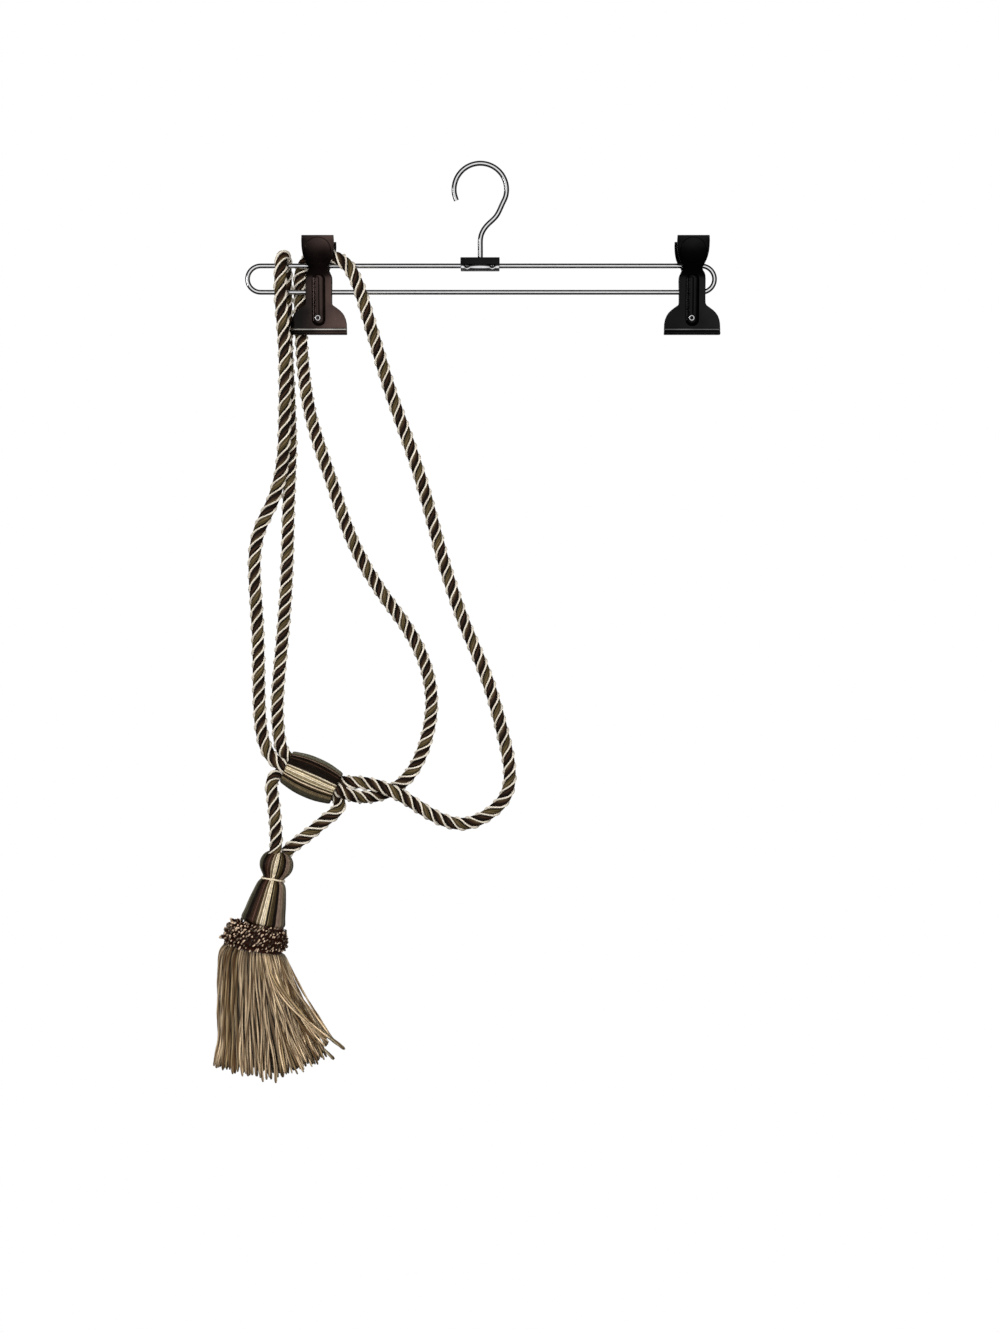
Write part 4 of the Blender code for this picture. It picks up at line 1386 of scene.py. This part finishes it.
def clip_rivet(name, centre_x, side):
    """The rolled rim of a rivet's hole."""
    x, y, z = RIVET_PLACE
    rivet = start_primitive(
        bpy.ops.mesh.primitive_torus_add, name, major_radius=RIVET_RADIUS * MM,
        minor_radius=RIVET_ROUNDING * MM, major_segments=32, minor_segments=12,
        location=metres(centre_x + x, side * y, z),
        rotation=(math.radians(90.0 - side * RIVET_LEAN), 0.0, 0.0),
    )
    apply_place(rivet)
    smooth_by_angle(rivet, 60)
    return rivet


def make_clip_side(name, centre_x, side, look, edge_look, rivet_look):
    """One plate with its ribs, pad and lips, and the rivet in it."""
    plate_name = name + "_plate"
    parts = [
        pressed_plate(plate_name, centre_x, side),
        pressed_rib("rib", centre_x, side, *RIB),
        pressed_rib("ridge", centre_x + RIDGE_X, side, *RIDGE),
        lever_pad("pad", centre_x, side),
        clip_lip("lower_bead", centre_x, side, *LOWER_BEAD),
    ]
    plate = join(plate_name, parts)
    smooth_by_angle(plate, 40)
    settle(plate, look, "dark_metal", name)

    edge = clip_lip(name + "_edge", centre_x, side, *EDGE_BEAD)
    smooth_by_angle(edge, 40)
    settle(edge, edge_look, "dark_metal")
    settle(clip_rivet(name + "_rivet", centre_x, side), rivet_look, "chrome_wire")


def make_coil(word, centre_x, look):
    """The spring between a clip's two plates."""
    reach = SPRING_LENGTH / 2 - COIL_WIRE
    radius = SPRING_RADIUS - COIL_WIRE
    steps = COIL_TURNS * COIL_STEPS
    points = []
    for step in range(steps + 1):
        angle = 2 * math.pi * step / COIL_STEPS
        x = centre_x - reach + 2 * reach * step / steps
        points.append((x, radius * math.cos(angle), SPRING_Z + radius * math.sin(angle)))
    coil = bent_wire(f"clip_{word}_coil", points, COIL_WIRE, resolution=2)
    smooth_by_angle(coil, 60)
    settle(coil, look, "spring_steel", f"clip_{word}_spring")


def make_clips(chrome):
    """Both spring clips, each in its own black nickel with its wear, painted reflection and painted
    highlight.
    """
    spring_wire = spring_finish()
    for word, centre_x in CLIP_CENTRES.items():
        wear_and_reflection, edge_wear_and_highlight = CLIP_WEAR_AND_REFLECTION[word]
        # The plate's patches are partly wear and partly a painted reflection; the jaw's edge is paler metal,
        # partly wear and partly a painted highlight line.
        look = black_nickel_finish(f"{word} clip black nickel", wear_and_reflection, centre_x)
        edge_look = black_nickel_finish(f"{word} clip edge wear and highlight", edge_wear_and_highlight, centre_x + EDGE_WEAR_AND_HIGHLIGHT_FROM)
        for side, face in ((-1, "front"), (1, "back")):
            make_clip_side(f"clip_{word}_{face}", centre_x, side, look, edge_look, chrome)
        make_coil(word, centre_x, spring_wire)


# ---------------------------------------------------------------- the stage


# The surround's brightness from the front (0) to the back (1).
SURROUND_TONES = (
    (0.0, 1.15), (0.045, 1.0), (0.09, 0.08), (0.22, 0.015), (0.90, 0.015), (0.95, 0.9), (1.0, 1.0),
)


# The soft lamps: place and size in metres, watts, and whether shiny pieces mirror them.
LAMP_TARGET = (-0.06, 0.0, -0.36)
LAMPS = {
    "key": ((-0.3, -1.9, 0.05), (1.2, 1.0), 42.0, False),
    "fill": ((1.3, -1.5, -0.1), (0.9, 0.9), 9.0, False),
    "back": ((0.15, 1.9, 0.1), (1.0, 1.0), 32.0, False),
    "back_left": ((-1.7, 1.0, 0.1), (0.7, 0.7), 8.0, False),
    "back_right": ((1.7, 1.0, 0.1), (0.7, 0.7), 9.0, False),
    "side_glint": ((-1.7, -1.2, -0.1), (0.18, 1.0), 5.5, True),
}


def make_camera():
    camera = bpy.data.cameras.new("camera")
    view_height = PHOTO_HEIGHT * SCALE
    camera.sensor_width = SENSOR
    camera.lens = SENSOR * CAMERA_DISTANCE / view_height
    camera.clip_start, camera.clip_end = CAMERA_RANGE
    made = bpy.data.objects.new("camera", camera)
    made.location = (VIEW_CENTRE - Vector((0.0, CAMERA_DISTANCE, 0.0))) * MM
    made.rotation_euler = (math.radians(90.0), 0.0, 0.0)
    bpy.context.collection.objects.link(made)
    bpy.context.scene.camera = made


def area_light(name, place, size, power, mirrored):
    light = bpy.data.lights.new(name, "AREA")
    light.shape = "RECTANGLE"
    light.size, light.size_y = size
    light.energy = power
    made = bpy.data.objects.new(name, light)
    made.location = place
    made.visible_glossy = mirrored
    away = Vector(place) - Vector(LAMP_TARGET)
    made.rotation_euler = away.to_track_quat("Z", "Y").to_euler()
    bpy.context.collection.objects.link(made)


def make_surround():
    """White to the camera, and to light and reflections a dark room that is bright in front and behind."""
    scene = bpy.context.scene
    scene.view_settings.view_transform = "Standard"
    world = bpy.data.worlds.new("studio")
    scene.world = world
    world.use_nodes = True
    nodes = world.node_tree.nodes
    links = world.node_tree.links
    backdrop = nodes["Background"]
    backdrop.inputs["Color"].default_value = (1.0, 1.0, 1.0, 1.0)
    surround = nodes.new("ShaderNodeBackground")
    place = nodes.new("ShaderNodeTexCoord")
    parts = nodes.new("ShaderNodeSeparateXYZ")
    ramp = nodes.new("ShaderNodeValToRGB")
    height = nodes.new("ShaderNodeMath")
    height.operation = "MULTIPLY_ADD"
    height.inputs[1].default_value = 0.5
    height.inputs[2].default_value = 0.5
    for number, (stop, tone) in enumerate(SURROUND_TONES):
        element = ramp.color_ramp.elements[number] if number < 2 else ramp.color_ramp.elements.new(stop)
        element.position = stop
        element.color = (tone, tone, tone, 1.0)
    ray = nodes.new("ShaderNodeLightPath")
    mixer = nodes.new("ShaderNodeMixShader")
    links.new(place.outputs["Generated"], parts.inputs[0])
    links.new(parts.outputs["Y"], height.inputs[0])
    links.new(height.outputs[0], ramp.inputs[0])
    links.new(ramp.outputs[0], surround.inputs["Color"])
    links.new(ray.outputs["Is Camera Ray"], mixer.inputs[0])
    links.new(surround.outputs[0], mixer.inputs[1])
    links.new(backdrop.outputs[0], mixer.inputs[2])
    links.new(mixer.outputs[0], nodes["World Output"].inputs["Surface"])


def main():
    make_camera()
    cord_look = yarn_finish("twisted cord yarn", fibres=220.0, slant=40.0, gloss=0.30, sheen=0.0)
    gimp_look = yarn_finish("cream gimp", fibres=14.0, slant=2600.0, gloss=0.34, sheen=0.1)
    covering_look = yarn_finish("satin covering yarn", fibres=600.0, slant=60.0, gloss=0.26, sheen=0.0)
    thread_look = yarn_finish("neck thread", fibres=8.0, slant=2400.0, gloss=0.35, sheen=0.1)
    ruff_look = yarn_finish("looped ruff yarn", fibres=10.0, slant=900.0, gloss=0.38, sheen=0.0)
    skirt_look = yarn_finish("spun skirt yarn", fibres=16.0, slant=500.0, gloss=0.40, sheen=0.1)
    make_cord(cord_look, gimp_look)
    make_barrel(covering_look)
    make_head(covering_look)
    make_neck_thread(thread_look)
    make_ruff(ruff_look)
    make_skirt(skirt_look)
    chrome = chrome_finish()
    make_hanger(chrome)
    make_hook(chrome)
    make_collar(black_nickel_finish("collar black nickel", COLLAR_WEAR, 0.0))
    make_sleeve(chrome)
    make_clips(chrome)
    make_surround()
    for name, lamp in LAMPS.items():
        area_light(name, *lamp)


main()
